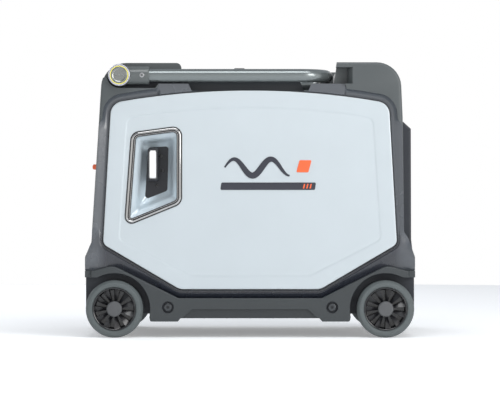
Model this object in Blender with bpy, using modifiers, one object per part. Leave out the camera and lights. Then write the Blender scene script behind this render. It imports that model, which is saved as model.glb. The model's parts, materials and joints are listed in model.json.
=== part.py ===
"""Closed-frame inverter generator on four wheels, with a swinging tow handle.

+X runs towards the exhaust end, -X towards the control end, -Y is the starter side and +Z is up.
The origin is on the ground under the middle of the machine.
Lengths are written in millimetres, and MM turns them into Blender's metres.
"""

import math

import bmesh
import bpy
from mathutils import Matrix, Vector

MM = 0.001
WELD = 1e-6

# ---- driving dimensions, mm -------------------------------------------------------------------
LENGTH = 600.0
WIDTH = 400.0
HEIGHT = 500.0
WALL = 3.5
GAP = 0.4

HALF_LENGTH = LENGTH / 2
HALF_WIDTH = WIDTH / 2

# Distances from the middle plane, y = 0.
BASE_FACE = HALF_WIDTH - 10
FRAME_FACE = HALF_WIDTH - 14
FRAME_BACK = HALF_WIDTH - 50
PANEL_FACE = HALF_WIDTH - 18
FIELD_FACE = PANEL_FACE - 1.2
COVER_SIDE = FRAME_BACK - GAP
CHANNEL_BACK = HALF_WIDTH - 40
POCKET_FLOOR = HALF_WIDTH - 55

WHEEL_RADIUS = 52.0
WHEEL_X = 246.0
WHEEL_Z = WHEEL_RADIUS
WHEEL_OUT = HALF_WIDTH - 4
WHEEL_IN = HALF_WIDTH - 40
RIM_RADIUS = 38.5
ARCH_RADIUS = 65.0
WELL_BACK = HALF_WIDTH - 46
AXLE_RADIUS = 6.0

TRAY_TOP = 121.5
TRAY_UNDER = 35.0
TRAY_FLOOR = TRAY_UNDER + WALL
END_FLOOR = 45.0
FOOT_BOTTOM = 29.0
SCREW_X, SCREW_Z = 149.0, 55.0

PIVOT_X, PIVOT_Z = -237.0, 476.0
HUB_RADIUS = 20.0
HUB_ROOM = 23.0
LOCK_RADIUS = 15.0
TUBE_RADIUS = 12.0
TUBE_Y = HALF_WIDTH - 21
TUBE_START = PIVOT_X + 28
GRIP_X = 140.0
BEND_RADIUS = 50.0
PAD_TOP = 461.0
RAIL_TOP = 453.0

CRANK_Z = 262.0
PULLEY_X = -177.0
PULLEY_GROOVE = 49.0
PULLEY_FLANGE = 57.0
COWL_RADIUS = 78.0
ROPE_RADIUS = 2.5
ROPE_Z = CRANK_Z + PULLEY_GROOVE + ROPE_RADIUS + 0.5
OUTLET_Y, OUTLET_Z = 62.0, 318.0

CAP_X = -20.0
NECK_RADIUS = 25.0
NECK_BORE = 22.0
NECK_TOP = 484.0
DECK_TOP = 478.0

PANEL_BACK = -269.0
PANEL_FRONT = PANEL_BACK - 3


# ---- scene and materials ----------------------------------------------------------------------
def clear_scene():
    for thing in list(bpy.data.objects):
        bpy.data.objects.remove(thing)


def collection(name):
    made = bpy.data.collections.new(name)
    bpy.context.scene.collection.children.link(made)
    return made


def material(name, colour, roughness, metallic=0.0):
    made = bpy.data.materials.new(name)
    made.use_nodes = True
    shader = made.node_tree.nodes["Principled BSDF"]
    shader.inputs["Base Color"].default_value = (*colour, 1.0)
    shader.inputs["Roughness"].default_value = roughness
    shader.inputs["Metallic"].default_value = metallic
    made.diffuse_color = (*colour, 1.0)
    return made


clear_scene()
PARTS = collection("inverter_generator")
CUTTERS = collection("cutters")

SHELL = material("shell_plastic", (0.060, 0.065, 0.070), 0.50)
SILVER = material("silver_panel", (0.62, 0.68, 0.72), 0.35)
CHROME = material("chrome_trim", (0.80, 0.80, 0.80), 0.08, 1.0)
BLACK = material("black_plastic", (0.02, 0.02, 0.022), 0.45)
TUBE_PAINT = material("handle_paint", (0.10, 0.11, 0.11), 0.40, 0.3)
ALLOY = material("cast_alloy", (0.50, 0.50, 0.50), 0.45, 1.0)
STEEL = material("steel", (0.42, 0.42, 0.43), 0.35, 1.0)
RUBBER = material("rubber", (0.12, 0.13, 0.13), 0.80)
ORANGE = material("orange_plastic", (0.80, 0.12, 0.03), 0.40)
GLASS = material("display_glass", (0.03, 0.05, 0.05), 0.10)
COPPER = material("copper_winding", (0.55, 0.25, 0.10), 0.40, 1.0)
ROPE = material("rope", (0.05, 0.05, 0.05), 0.90)


# ---- outlines ---------------------------------------------------------------------------------
def rounded(corners, steps=3):
    """Points of a closed outline from (u, v, radius) corners, each rounded by an arc."""
    points = []
    count = len(corners)
    for i, (u, v, radius) in enumerate(corners):
        here = Vector((u, v))
        if radius <= 0:
            points.append((u, v))
            continue
        before = (Vector(corners[i - 1][:2]) - here).normalized()
        after = (Vector(corners[(i + 1) % count][:2]) - here).normalized()
        half = before.angle(after) / 2
        reach = radius / math.tan(half)
        centre = here + (before + after).normalized() * (radius / math.sin(half))
        start = here + before * reach - centre
        turn = (here + after * reach - centre).angle_signed(start)
        for k in range(steps + 1):
            spoke = start.copy()
            spoke.rotate(Matrix.Rotation(turn * k / steps, 2))
            points.append(tuple(centre + spoke))
    return points


def mirrored(right_half):
    """A closed outline from its right half, listed from the bottom to the top."""
    return right_half + [(-u, v, r) for u, v, r in reversed(right_half)]


def grown(points, by):
    """The outline moved outwards by a distance; its points run anticlockwise."""
    moved = []
    count = len(points)
    for i in range(count):
        here = Vector(points[i])
        before = (here - Vector(points[i - 1])).normalized()
        after = (Vector(points[(i + 1) % count]) - here).normalized()
        out_before = Vector((before.y, -before.x))
        out_after = Vector((after.y, -after.x))
        mitre = (out_before + out_after).normalized()
        moved.append(tuple(here + mitre * by / max(0.3, mitre.dot(out_after))))
    return moved


def arc(u, v, radius, start, end, steps=5):
    """Points on an arc between two angles in degrees."""
    points = []
    for k in range(steps + 1):
        angle = math.radians(start + (end - start) * k / steps)
        points.append((u + radius * math.cos(angle), v + radius * math.sin(angle)))
    return points


def crowned(half_width, crown_z, radius, steps=4):
    """Right half of a shallow arch over x, from its right end towards the middle."""
    points = []
    for k in range(steps):
        x = half_width * (1 - k / steps)
        points.append((x, crown_z - radius + math.sqrt(radius**2 - x**2), 0))
    return points


def sheet_outline(path, thickness):
    """Closed outline of a bent sheet: the path, then the path moved to its right."""
    inner = []
    for i, point in enumerate(path):
        here = Vector(point)
        after = Vector(path[i + 1]) - here if i + 1 < len(path) else here - Vector(path[i - 1])
        before = here - Vector(path[i - 1]) if i else after.copy()
        before.normalize()
        after.normalize()
        right_after = Vector((after.y, -after.x))
        mitre = (Vector((before.y, -before.x)) + right_after).normalized()
        inner.append(tuple(here + mitre * thickness / max(0.4, mitre.dot(right_after))))
    return path + inner[::-1]


CROWN_RADIUS = 1400.0
PANEL_OUTLINE = rounded(
    mirrored([(128, 87.7, 28), (267, 169.5, 14), (252.4, 425.7, 24), *crowned(205, 448.5, CROWN_RADIUS)])
)
FIELD_OUTLINE = rounded(
    mirrored([(108, 113, 20), (236, 178, 12), (222, 396, 12), *crowned(196, 415.5, CROWN_RADIUS)])
)

TRAY_EDGE = [(130, 72, 12), (249, 131.5, 30), (284, 122, 10), (HALF_LENGTH, TRAY_TOP, 0)]
EXHAUST_EDGE = [(HALF_LENGTH, 146, 8), (288, 180, 16), (280, 192, 0), (277.5, 400, 0), (273, HEIGHT, 45)]
CONTROL_EDGE = [(HALF_LENGTH, 146, 8), (288.5, 173, 8), (274.8, 390, 0), (268, HEIGHT, 45)]
FRAME_OUTLINE = rounded(
    [(-u, v, r) for u, v, r in reversed(TRAY_EDGE)]
    + TRAY_EDGE
    + EXHAUST_EDGE
    + [(161, HEIGHT, 9), (152, RAIL_TOP, 0), (-118, RAIL_TOP, 0), (-124, HEIGHT, 8)]
    + [(-u, v, r) for u, v, r in reversed(CONTROL_EDGE)]
)

POCKET_MOUTH = rounded([(-213.8, 370.4, 14), (-226.1, 204, 10), (-126.1, 244.8, 16), (-126.1, 382.2, 14)])
POCKET_BOTTOM = rounded([(-185.5, 345, 5), (-191.5, 252, 5), (-152, 267.5, 6), (-150, 347, 5)])


# ---- shapes -----------------------------------------------------------------------------------
TURNS = {
    "X": Matrix.Rotation(math.pi / 2, 4, "Y"),
    "Y": Matrix.Rotation(-math.pi / 2, 4, "X"),
    "-Y": Matrix.Rotation(math.pi / 2, 4, "X"),
    "Z": Matrix.Identity(4),
}
PLANES = {
    "X": Matrix(((0, 0, 1, 0), (1, 0, 0, 0), (0, 1, 0, 0), (0, 0, 0, 1))),
    "Y": Matrix(((1, 0, 0, 0), (0, 0, 1, 0), (0, 1, 0, 0), (0, 0, 0, 1))),
    "Z": Matrix.Identity(4),
}


def on_plane(axis, level):
    """Matrix that carries a flat outline to a plane across an axis, at a level along it."""
    return PLANES[axis] @ Matrix.Translation((0, 0, level * MM))


def place_on(axis, centre):
    """Matrix for a piece drawn about its own Z: centre is its world place across the axis."""
    u, v = centre
    spot = {"X": (0, u, v), "Y": (u, 0, v), "-Y": (u, 0, v), "Z": (u, v, 0)}[axis]
    return Matrix.Translation(Vector(spot) * MM) @ TURNS[axis]


def add_piece(name, bm, look):
    """Object from a closed bmesh; with no look it is a cutter or a shape to be fused."""
    bmesh.ops.remove_doubles(bm, verts=bm.verts, dist=WELD)
    bmesh.ops.recalc_face_normals(bm, faces=bm.faces)
    mesh = bpy.data.meshes.new(name)
    bm.to_mesh(mesh)
    bm.free()
    mesh.shade_smooth()
    mesh.set_sharp_from_angle(angle=math.radians(35))
    made = bpy.data.objects.new(name, mesh)
    mesh.materials.append(look or BLACK)
    if look:
        PARTS.objects.link(made)
    else:
        CUTTERS.objects.link(made)
        made.hide_render = True
        made.display_type = "WIRE"
    return made


def solid_from(drawn, look, matrix=None):
    """Turns a curve, or a profile with its modifiers, into a welded mesh object."""
    name = drawn.name
    drawn.name = name + "_drawing"
    CUTTERS.objects.link(drawn)
    bpy.context.view_layer.update()
    graph = bpy.context.evaluated_depsgraph_get()
    mesh = bpy.data.meshes.new_from_object(drawn.evaluated_get(graph))
    bpy.data.objects.remove(drawn)
    bm = bmesh.new()
    bm.from_mesh(mesh)
    bpy.data.meshes.remove(mesh)
    if matrix:
        bmesh.ops.transform(bm, matrix=matrix, verts=bm.verts)
    return add_piece(name, bm, look)


def box(name, low, high, look=None, soften=0.0):
    bm = bmesh.new()
    bmesh.ops.create_cube(bm, size=1.0)
    bmesh.ops.scale(bm, vec=[(b - a) * MM for a, b in zip(low, high)], verts=bm.verts)
    bmesh.ops.translate(bm, vec=[(a + b) / 2 * MM for a, b in zip(low, high)], verts=bm.verts)
    if soften:
        bmesh.ops.bevel(bm, geom=bm.edges[:], offset=soften * MM, segments=1, affect="EDGES")
    return add_piece(name, bm, look)


def prism(name, outline, low, high, look=None, axis="Y"):
    """A flat outline extruded between two levels of an axis."""
    curve = bpy.data.curves.new(name, "CURVE")
    curve.dimensions = "2D"
    curve.fill_mode = "BOTH"
    curve.extrude = (high - low) / 2 * MM
    spline = curve.splines.new("POLY")
    spline.points.add(len(outline) - 1)
    for point, (u, v) in zip(spline.points, outline):
        point.co = (u * MM, v * MM, 0, 1)
    spline.use_cyclic_u = True
    return solid_from(bpy.data.objects.new(name, curve), look, on_plane(axis, (low + high) / 2))


def loft(name, near_outline, near, far_outline, far, look=None, axis="Y"):
    """A solid between two outlines with equal numbers of points, on two levels of an axis."""
    bm = bmesh.new()
    rings = []
    for outline, level in ((near_outline, near), (far_outline, far)):
        matrix = on_plane(axis, level)
        rings.append([bm.verts.new(matrix @ Vector((u * MM, v * MM, 0))) for u, v in outline])
    for i in range(len(near_outline)):
        bm.faces.new((rings[0][i - 1], rings[0][i], rings[1][i], rings[1][i - 1]))
    bm.faces.new(rings[0])
    bm.faces.new(rings[1])
    return add_piece(name, bm, look)


def rod(name, axis, centre, radius, low, high, look=None, sides=20, tip=None):
    """A cylinder, or a cone with a tip radius at its high end, between two levels of an axis."""
    bm = bmesh.new()
    bmesh.ops.create_cone(
        bm,
        cap_ends=True,
        segments=sides,
        radius1=radius * MM,
        radius2=(radius if tip is None else tip) * MM,
        depth=(high - low) * MM,
    )
    lift = Matrix.Translation((0, 0, (low + high) / 2 * MM))
    bmesh.ops.transform(bm, matrix=place_on(axis, centre) @ lift, verts=bm.verts)
    return add_piece(name, bm, look)


def turned(name, axis, centre, profile, look=None, sides=24):
    """A profile of (radius, level) points turned about an axis; levels on -Y grow outwards."""
    mesh = bpy.data.meshes.new(name)
    closed = list(zip(range(len(profile)), [*range(1, len(profile)), 0]))
    edges = [(a, b) for a, b in closed if profile[a][0] > 0 or profile[b][0] > 0]
    mesh.from_pydata([(radius * MM, 0, level * MM) for radius, level in profile], edges, [])
    drawn = bpy.data.objects.new(name, mesh)
    screw = drawn.modifiers.new("turn", "SCREW")
    screw.steps = sides
    screw.render_steps = sides
    screw.use_merge_vertices = True
    screw.merge_threshold = WELD
    return solid_from(drawn, look, place_on(axis, centre))


def tube(name, path, radius, look=None, resolution=2, cyclic=False):
    curve = bpy.data.curves.new(name, "CURVE")
    curve.dimensions = "3D"
    curve.bevel_depth = radius * MM
    curve.bevel_resolution = resolution
    curve.use_fill_caps = True
    spline = curve.splines.new("POLY")
    spline.points.add(len(path) - 1)
    for point, place in zip(spline.points, path):
        point.co = (*[c * MM for c in place], 1)
    spline.use_cyclic_u = cyclic
    return solid_from(bpy.data.objects.new(name, curve), look)


def combine(piece, operation, others):
    for other in others:
        step = piece.modifiers.new(operation.lower() + "_" + other.name, "BOOLEAN")
        step.operation = operation
        step.solver = "EXACT"
        step.object = other
    return piece


def cut(piece, *others):
    return combine(piece, "DIFFERENCE", others)


def fuse(piece, *others):
    return combine(piece, "UNION", others)


def pivot(name, place, pieces):
    """An empty on a joint's axis that carries the pieces which move about it."""
    empty = bpy.data.objects.new(name, None)
    empty.location = Vector(place) * MM
    empty.empty_display_size = 0.02
    PARTS.objects.link(empty)
    bpy.context.view_layer.update()
    for piece in pieces:
        piece.parent = empty
        piece.matrix_parent_inverse = empty.matrix_world.inverted()


def span(side, near, far):
    """Low and high y of a stretch given by its distances from the middle plane."""
    return (near, far) if side > 0 else (-far, -near)


def side_name(side):
    return "service_side" if side > 0 else "starter_side"


def end_name(end):
    return "exhaust_end" if end > 0 else "control_end"


# ---- base tray --------------------------------------------------------------------------------
def tray_outline():
    foot = [(126, TRAY_UNDER, 0), (131, FOOT_BOTTOM, 0), (181, FOOT_BOTTOM, 0), (184, 42, 0)]
    lower = foot + [(HALF_LENGTH, 42, 3)]
    upper = [(u, v - GAP, r) for u, v, r in TRAY_EDGE]
    right = lower + upper[::-1]
    return rounded(right + [(-u, v, r) for u, v, r in reversed(right)])


def base_tray():
    tray = prism("base_tray", tray_outline(), -BASE_FACE, BASE_FACE, SHELL)
    inside = FRAME_FACE - 4
    well_wall = WELL_BACK - WALL
    roof = TRAY_TOP + 60
    cut(tray, box("tray_middle_room", (-172, -inside, TRAY_FLOOR), (172, inside, roof)))
    for side in (-1, 1):
        y0, y1 = span(side, BASE_FACE - 3, HALF_WIDTH)
        step = [(-124, 33), (124, 33), (106, 51), (-106, 51)]
        cut(tray, prism(f"step_{side_name(side)}", step, y0, y1))
    for end in (-1, 1):
        low, high = sorted((end * 170, end * (HALF_LENGTH - WALL)))
        wheel_centre = (end * WHEEL_X, WHEEL_Z)
        room = box(f"room_{end_name(end)}", (low, -well_wall, END_FLOOR), (high, well_wall, roof))
        passage = rod(f"axle_way_{end_name(end)}", "Y", wheel_centre, AXLE_RADIUS + GAP, -WHEEL_IN, WHEEL_IN)
        cut(tray, room, passage)
        for side in (-1, 1):
            tag = f"{end_name(end)}_{side_name(side)}"
            y0, y1 = span(side, WELL_BACK, HALF_WIDTH + 5)
            low, high = sorted((end * WHEEL_X, end * (HALF_LENGTH + 5)))
            cut(tray, rod(f"arch_{tag}", "Y", wheel_centre, ARCH_RADIUS, y0, y1, sides=32))
            cut(tray, box(f"arch_mouth_{tag}", (low, y0, 0), (high, y1, 109)))
            tray_screw(tray, tag, (end * SCREW_X, SCREW_Z), side)


def tray_screw(tray, tag, centre, side):
    """A pan-head screw in a counterbored boss in the tray's side wall."""
    fuse(tray, rod(f"boss_{tag}", "Y", centre, 14, *span(side, 172, BASE_FACE - 2), sides=12))
    cut(tray, rod(f"counterbore_{tag}", "Y", centre, 10.8, *span(side, 184, HALF_WIDTH), sides=16))
    cut(tray, rod(f"screw_way_{tag}", "Y", centre, 4, *span(side, 165, HALF_WIDTH), sides=10))
    screw = rod(f"screw_{tag}", "Y", centre, 7.6, *span(side, 184.4, 188.5), STEEL, sides=14)
    fuse(screw, rod(f"shank_{tag}", "Y", centre, 3.4, *span(side, 168, 186), sides=8))


# ---- side frames and panels -------------------------------------------------------------------
def channel_outline():
    """Room for the folded handle: round at its hub, stepped up at the two pads, open above."""
    floor = PIVOT_Z - HUB_ROOM
    top = HEIGHT + 20
    hub = arc(PIVOT_X, PIVOT_Z, HUB_ROOM, 190, 270)
    pads = [(-172, floor), (-166, PAD_TOP), (-110, PAD_TOP), (-106, RAIL_TOP - 5)]
    pads += [(106, RAIL_TOP - 5), (110, PAD_TOP), (180, PAD_TOP)]
    return [(-310, PIVOT_Z - 4), *hub, *pads, (180, top), (-310, top)]


def rail_blocks(frame, side):
    """Raises the top rail to the height of the pads beside the middle stretch."""
    for word, near, far in (("left", -125, -109), ("right", 109, 155)):
        corners = [(near, 445), (far, 445), (far, PAD_TOP), (near, PAD_TOP)]
        fuse(frame, prism(f"{word}_pad_{side_name(side)}", corners, *span(side, FRAME_BACK, FRAME_FACE)))


def side_frame(side):
    name = side_name(side)
    frame = prism(f"{name}_frame", FRAME_OUTLINE, *span(side, FRAME_BACK, FRAME_FACE), SHELL)
    rail_blocks(frame, side)
    floor_y, mouth_y = side * (PANEL_FACE - 5), side * (FRAME_FACE + 1.5)
    cut(frame, loft(f"dish_{name}", grown(PANEL_OUTLINE, 4), floor_y, grown(PANEL_OUTLINE, 19), mouth_y))
    cut(frame, prism(f"channel_{name}", channel_outline(), *span(side, CHANNEL_BACK, HALF_WIDTH)))

    ledge = -8.0
    hollow = prism(f"hollow_{name}", grown(FRAME_OUTLINE, -WALL), *span(side, FRAME_BACK - 5, 172))
    core = prism(f"hollow_core_{name}", grown(PANEL_OUTLINE, ledge + WALL), *span(side, 140, 180))
    y0, y1 = span(side, 130, 190)
    cut(hollow, core, box(f"solid_top_{name}", (-310, y0, 442), (310, y1, 520)))
    cut(frame, hollow)
    cut(frame, prism(f"window_{name}", grown(PANEL_OUTLINE, ledge), *span(side, 130, 182)))
    cut(frame, prism(f"rebate_{name}", grown(PANEL_OUTLINE, 0.5), *span(side, PANEL_FACE - 4.9, 210)))
    cut(frame, rod(f"pivot_hole_{name}", "Y", (PIVOT_X, PIVOT_Z), 8.5, *span(side, 140, 170), sides=20))


def side_panel(side):
    name = side_name(side)
    panel = prism(f"{name}_panel", PANEL_OUTLINE, *span(side, PANEL_FACE - 4.5, PANEL_FACE), SILVER)
    cut(panel, prism(f"field_{name}", FIELD_OUTLINE, *span(side, FIELD_FACE, PANEL_FACE + 5)))
    if side < 0:
        cut(panel, prism("panel_opening", grown(POCKET_MOUTH, 0.6), -HALF_WIDTH, -160))


def badge():
    strip = rounded([(-54, 268, 3), (118, 268, 3), (120, 281.5, 3), (-52, 281.5, 3)], 2)
    prism("badge_plate", strip, -(FIELD_FACE + 1.4), -(FIELD_FACE + 0.3), BLACK)


def starter_recess():
    ring = 3.2
    path = [(u, -(PANEL_FACE - 0.5), v) for u, v in grown(POCKET_MOUTH, -ring)]
    trim = tube("recess_trim", path, ring, CHROME, cyclic=True)

    mouth_y, floor_y = -(PANEL_FACE - 4.2), -POCKET_FLOOR
    outside = grown(POCKET_BOTTOM, WALL)
    pocket = loft("recess_pocket", grown(POCKET_MOUTH, -0.2), mouth_y, outside, floor_y + WALL, SILVER)
    cut(pocket, loft("pocket_room", grown(POCKET_MOUTH, -3), mouth_y - 0.3, POCKET_BOTTOM, floor_y))
    cut(trim, prism("trim_seat", grown(POCKET_MOUTH, 5), mouth_y - 0.3, -170))
    centre = (PULLEY_X, ROPE_Z)
    cut(pocket, rod("guide_hole", "Y", centre, 9, -160, -130, sides=16))
    bore = ROPE_RADIUS + 1
    lip, front, back = 10, POCKET_FLOOR + 2, POCKET_FLOOR - 8
    profile = [(bore, front), (lip, front), (lip, POCKET_FLOOR + 0.3), (8.3, POCKET_FLOOR + 0.3)]
    turned("rope_guide", "-Y", centre, profile + [(8.3, back), (bore, back)], BLACK, sides=16)

    low = (PULLEY_X - 9.5, -(POCKET_FLOOR + 30), ROPE_Z - 30)
    high = (PULLEY_X + 9.5, -(POCKET_FLOOR + 3), ROPE_Z + 30)
    grip = box("recoil_grip", low, high, BLACK, 3)
    near, far = POCKET_FLOOR + 2.6, 2
    stops = [near + (far - near) * k / 6 for k in range(7)]
    tube("recoil_rope", [(PULLEY_X, -y, ROPE_Z) for y in stops], ROPE_RADIUS, ROPE)
    pivot("recoil_pull", (PULLEY_X, floor_y, ROPE_Z), [grip])


# ---- covers between the side frames -----------------------------------------------------------
WINDOW_LOW, WINDOW_HIGH = (-126.0, 198.0), (126.0, 384.0)  # y and z of the control panel's opening


def control_end_cover():
    path = [(-296.5, TRAY_TOP + 1), (-299, 143), (-287.5, 182), (-276.5, 388), (-273, 397), (-270, 450)]
    path += arc(-228, 450, 42, 180, 90)[1:] + [(-128, 492), (-128, 448)]
    cover = prism("control_end_cover", sheet_outline(path, WALL), -COVER_SIDE, COVER_SIDE, SHELL)
    (y0, z0), (y1, z1) = WINDOW_LOW, WINDOW_HIGH
    cut(cover, box("control_window", (-310, y0, z0), (-265, y1, z1)))


def exhaust_end_cover():
    path = [(160, 442), (163, 492)] + arc(228, 450, 42, 90, 0)
    path += [(277, 396), (294.5, 380), (295, 178), (299, 143), (296.5, TRAY_TOP + 1)]
    cover = prism("exhaust_end_cover", sheet_outline(path, WALL), -COVER_SIDE, COVER_SIDE, SHELL)
    cheek = [(262, 130), (297, 143), (293, 178), (292.5, 379), (276.5, 394), (262, 430)]
    for side in (-1, 1):
        fuse(cover, prism("cover_cheek", cheek, *span(side, COVER_SIDE - WALL, COVER_SIDE - 0.2)))
    slot, pitch = 9, 20
    for row in range(8):
        z = 200 + row * pitch
        cut(cover, box(f"louvre_{row + 1}", (280, -118, z), (310, 0, z + slot)))
    cut(cover, rod("outlet_way", "X", (OUTLET_Y, OUTLET_Z), 27, 280, 310))


def top_cover():
    """A deck over the tank that drops to a finger well under the handle's grip."""
    skirt, well, slope = 436, 440.5, 86
    outer = [(-124.5, skirt, 0), (156.5, skirt, 0), (156.5, well, 0), (slope + 18, well, 8)]
    outer += [(slope, DECK_TOP, 8), (-124.5, DECK_TOP, 5)]
    cover = prism("top_cover", rounded(outer, 3), -COVER_SIDE, COVER_SIDE, SHELL)
    under = [(-121, 430), (153, 430), (153, well - WALL), (slope + 15, well - WALL)]
    under += [(slope - 3, DECK_TOP - WALL), (-121, DECK_TOP - WALL)]
    cut(cover, prism("deck_room", under, -COVER_SIDE + WALL, COVER_SIDE - WALL))
    cut(cover, rod("neck_way", "Z", (CAP_X, 0), NECK_RADIUS + 2, 460, 490))


# ---- fuel system ------------------------------------------------------------------------------
def fuel_system():
    tank = box("fuel_tank", (-116, -136, 342), (78, 136, 466), BLACK, 10)
    fuse(tank, rod("neck", "Z", (CAP_X, 0), NECK_RADIUS, 455, NECK_TOP, sides=24))
    cut(tank, box("tank_room", (-113, -133, 345), (75, 133, 463), soften=8))
    cut(tank, rod("neck_bore", "Z", (CAP_X, 0), NECK_BORE, 450, 490, sides=24))

    brim, lip, inner = 31, DECK_TOP + 1.5, NECK_RADIUS + 1
    profile = [(0, 494), (brim - 3, 494), (brim, 491), (brim, lip), (inner, lip)]
    profile += [(inner, NECK_TOP + 2), (0, NECK_TOP + 2)]
    cap = turned("fuel_cap", "Z", (CAP_X, 0), profile, BLACK)
    knob = box("vent_knob", (CAP_X - 10, -4, 494.3), (CAP_X + 10, 4, 499.5), BLACK, 1)
    pivot("cap_axis", (CAP_X, 0, NECK_TOP), [cap, knob])


# ---- control panel: places are (y, z) ---------------------------------------------------------
AC_OUTLETS = ((30.0, 322.0), (88.0, 322.0))
DC_OUTLET = (30.0, 248.0)
KNOB_CENTRE = (-82.0, 311.0)
BREAKER_CENTRE = (-82.0, 240.0)
ROCKER_CENTRE = (-24.0, 248.0)


def outlet(plate, name, centre, barrel, bore, depth):
    """A round outlet: flange on the panel, barrel behind it and a cup open towards -X."""
    front = PANEL_FRONT - 3
    seat = PANEL_FRONT - GAP
    back = front + depth + 8
    profile = [(bore, front), (barrel + 4, front), (barrel + 4, seat), (barrel, seat), (barrel, back)]
    profile += [(0, back), (0, front + depth), (bore, front + depth)]
    cut(plate, rod(f"{name}_way", "X", centre, barrel + 0.5, -290, -260, sides=20))
    turned(name, "X", centre, profile, BLACK, sides=20)


def control_panel():
    edge = 4.0
    low = (PANEL_FRONT, WINDOW_LOW[0] - edge, WINDOW_LOW[1] - edge)
    high = (PANEL_BACK, WINDOW_HIGH[0] + edge, WINDOW_HIGH[1] + edge)
    plate = box("control_panel", low, high, BLACK)
    for number, centre in enumerate(AC_OUTLETS):
        outlet(plate, f"ac_outlet_{number + 1}", centre, 24.5, 19.5, 17)
    outlet(plate, "dc_outlet", DC_OUTLET, 13.5, 10.5, 15)
    box("display", (PANEL_FRONT - 2.4, -44, 300), (PANEL_FRONT - GAP, -4, 345), GLASS, 0.8)

    y, z = KNOB_CENTRE
    cut(plate, rod("stem_way", "X", KNOB_CENTRE, 6, -290, -260, sides=16))
    knob = rod("engine_knob", "X", KNOB_CENTRE, 21, PANEL_FRONT - 10, PANEL_FRONT - 1, ORANGE, sides=24, tip=23)
    fuse(knob, box("knob_bar", (PANEL_FRONT - 20, y - 18, z - 5), (PANEL_FRONT - 8, y + 18, z + 5)))
    fuse(knob, rod("knob_stem", "X", KNOB_CENTRE, 5, PANEL_FRONT - 3, PANEL_BACK + 12, sides=12))
    pivot("knob_axis", (PANEL_FRONT, y, z), [knob])

    cut(plate, rod("breaker_way", "X", BREAKER_CENTRE, 8.5, -290, -260, sides=16))
    button = rod("breaker_button", "X", BREAKER_CENTRE, 8, PANEL_FRONT - 5, PANEL_BACK + 6, BLACK, sides=16)
    pivot("breaker_axis", (PANEL_FRONT, *BREAKER_CENTRE), [button])

    y, z = ROCKER_CENTRE
    half_width, half_height = 9, 14
    way = (half_width + 0.6, half_height + 1.6)
    cut(plate, box("rocker_way", (-290, y - way[0], z - way[1]), (-260, y + way[0], z + way[1])))
    upper = [(PANEL_FRONT - 3, z), (PANEL_FRONT - 6, z + half_height - 1), (PANEL_FRONT - 1, z + half_height)]
    upper.append((PANEL_BACK + 6, z + 6))
    lower = [(x, 2 * z - level) for x, level in reversed(upper[1:])]
    rocker = prism("eco_switch", upper + lower, y - half_width, y + half_width, BLACK)
    pivot("rocker_axis", (PANEL_FRONT, y, z), [rocker])


# ---- engine and alternator --------------------------------------------------------------------
def engine():
    crankcase = box("crankcase", (-36, -62, 96), (100, 62, 326), ALLOY, 6)
    cut(crankcase, rod("crank_way", "X", (0, CRANK_Z), 12, -60, 110, sides=16))
    rod("oil_dipstick", "Y", (-12, 150), 12, 62.4, 80, ORANGE, sides=12)
    cradle = box("engine_cradle", (-52, -96, TRAY_FLOOR + GAP), (116, 96, 95.6), STEEL, 3)
    cut(cradle, box("cradle_room", (-34, -110, TRAY_FLOOR + 8), (98, 110, 88)))

    barrel, fin, base = 38, 50, 62.4
    profile = [(0, base), (barrel, base)]
    for row in range(4):
        y = base + 6 + 13 * row
        profile += [(barrel, y), (fin, y), (fin, y + 5), (barrel, y + 5)]
    turned("cylinder", "Y", (32, CRANK_Z), profile + [(barrel, 121), (0, 121)], ALLOY, sides=16)
    box("valve_cover", (-10, 121.4, 220), (74, 148, 304), ALLOY, 6)
    rod("spark_plug_cap", "Z", (32, 134), 9, 304.4, 330, BLACK, sides=12, tip=7)
    box("carburettor", (-45.6, 121.6, 240), (-10.4, 146, 284), ALLOY, 3)
    box("air_cleaner", (-122, 84, 226), (-46, 146, 322), BLACK, 8)


def exhaust():
    muffler = box("muffler", (142, -96, 222), (268, 96, 384), STEEL, 14)
    header = [(74.6, 134, 262), (105, 134, 262), (130, 116, 272), (152, 84, 285)]
    fuse(muffler, tube("header_pipe", header, 9))
    cut(muffler, box("muffler_room", (144, -94, 224), (266, 94, 382), soften=12))
    cut(muffler, rod("muffler_port", "X", (OUTLET_Y, OUTLET_Z), 17.5, 255, 280, sides=16))
    profile = [(17, 258), (17, 290), (26, 296), (26, 299), (23, 299), (15, 290), (15, 258)]
    turned("exhaust_outlet", "X", (OUTLET_Y, OUTLET_Z), profile, STEEL, sides=16)


def alternator():
    centre = (0, CRANK_Z)
    shaft = rod("crankshaft", "X", centre, 10, -150, 118, STEEL, sides=16)
    profile = [(10.4, -132), (64, -132), (70, -128), (70, -58), (62, -58), (62, -122), (22, -122)]
    rotor = turned("flywheel_rotor", "X", centre, profile + [(22, -112), (10.4, -112)], STEEL)
    pivot("crank_axis", (0, 0, CRANK_Z), [shaft, rotor])
    profile = [(16, -36.4), (16, -106), (60.5, -106), (60.5, -68), (30, -68), (30, -36.4)]
    turned("stator", "X", centre, profile, COPPER)


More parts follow.
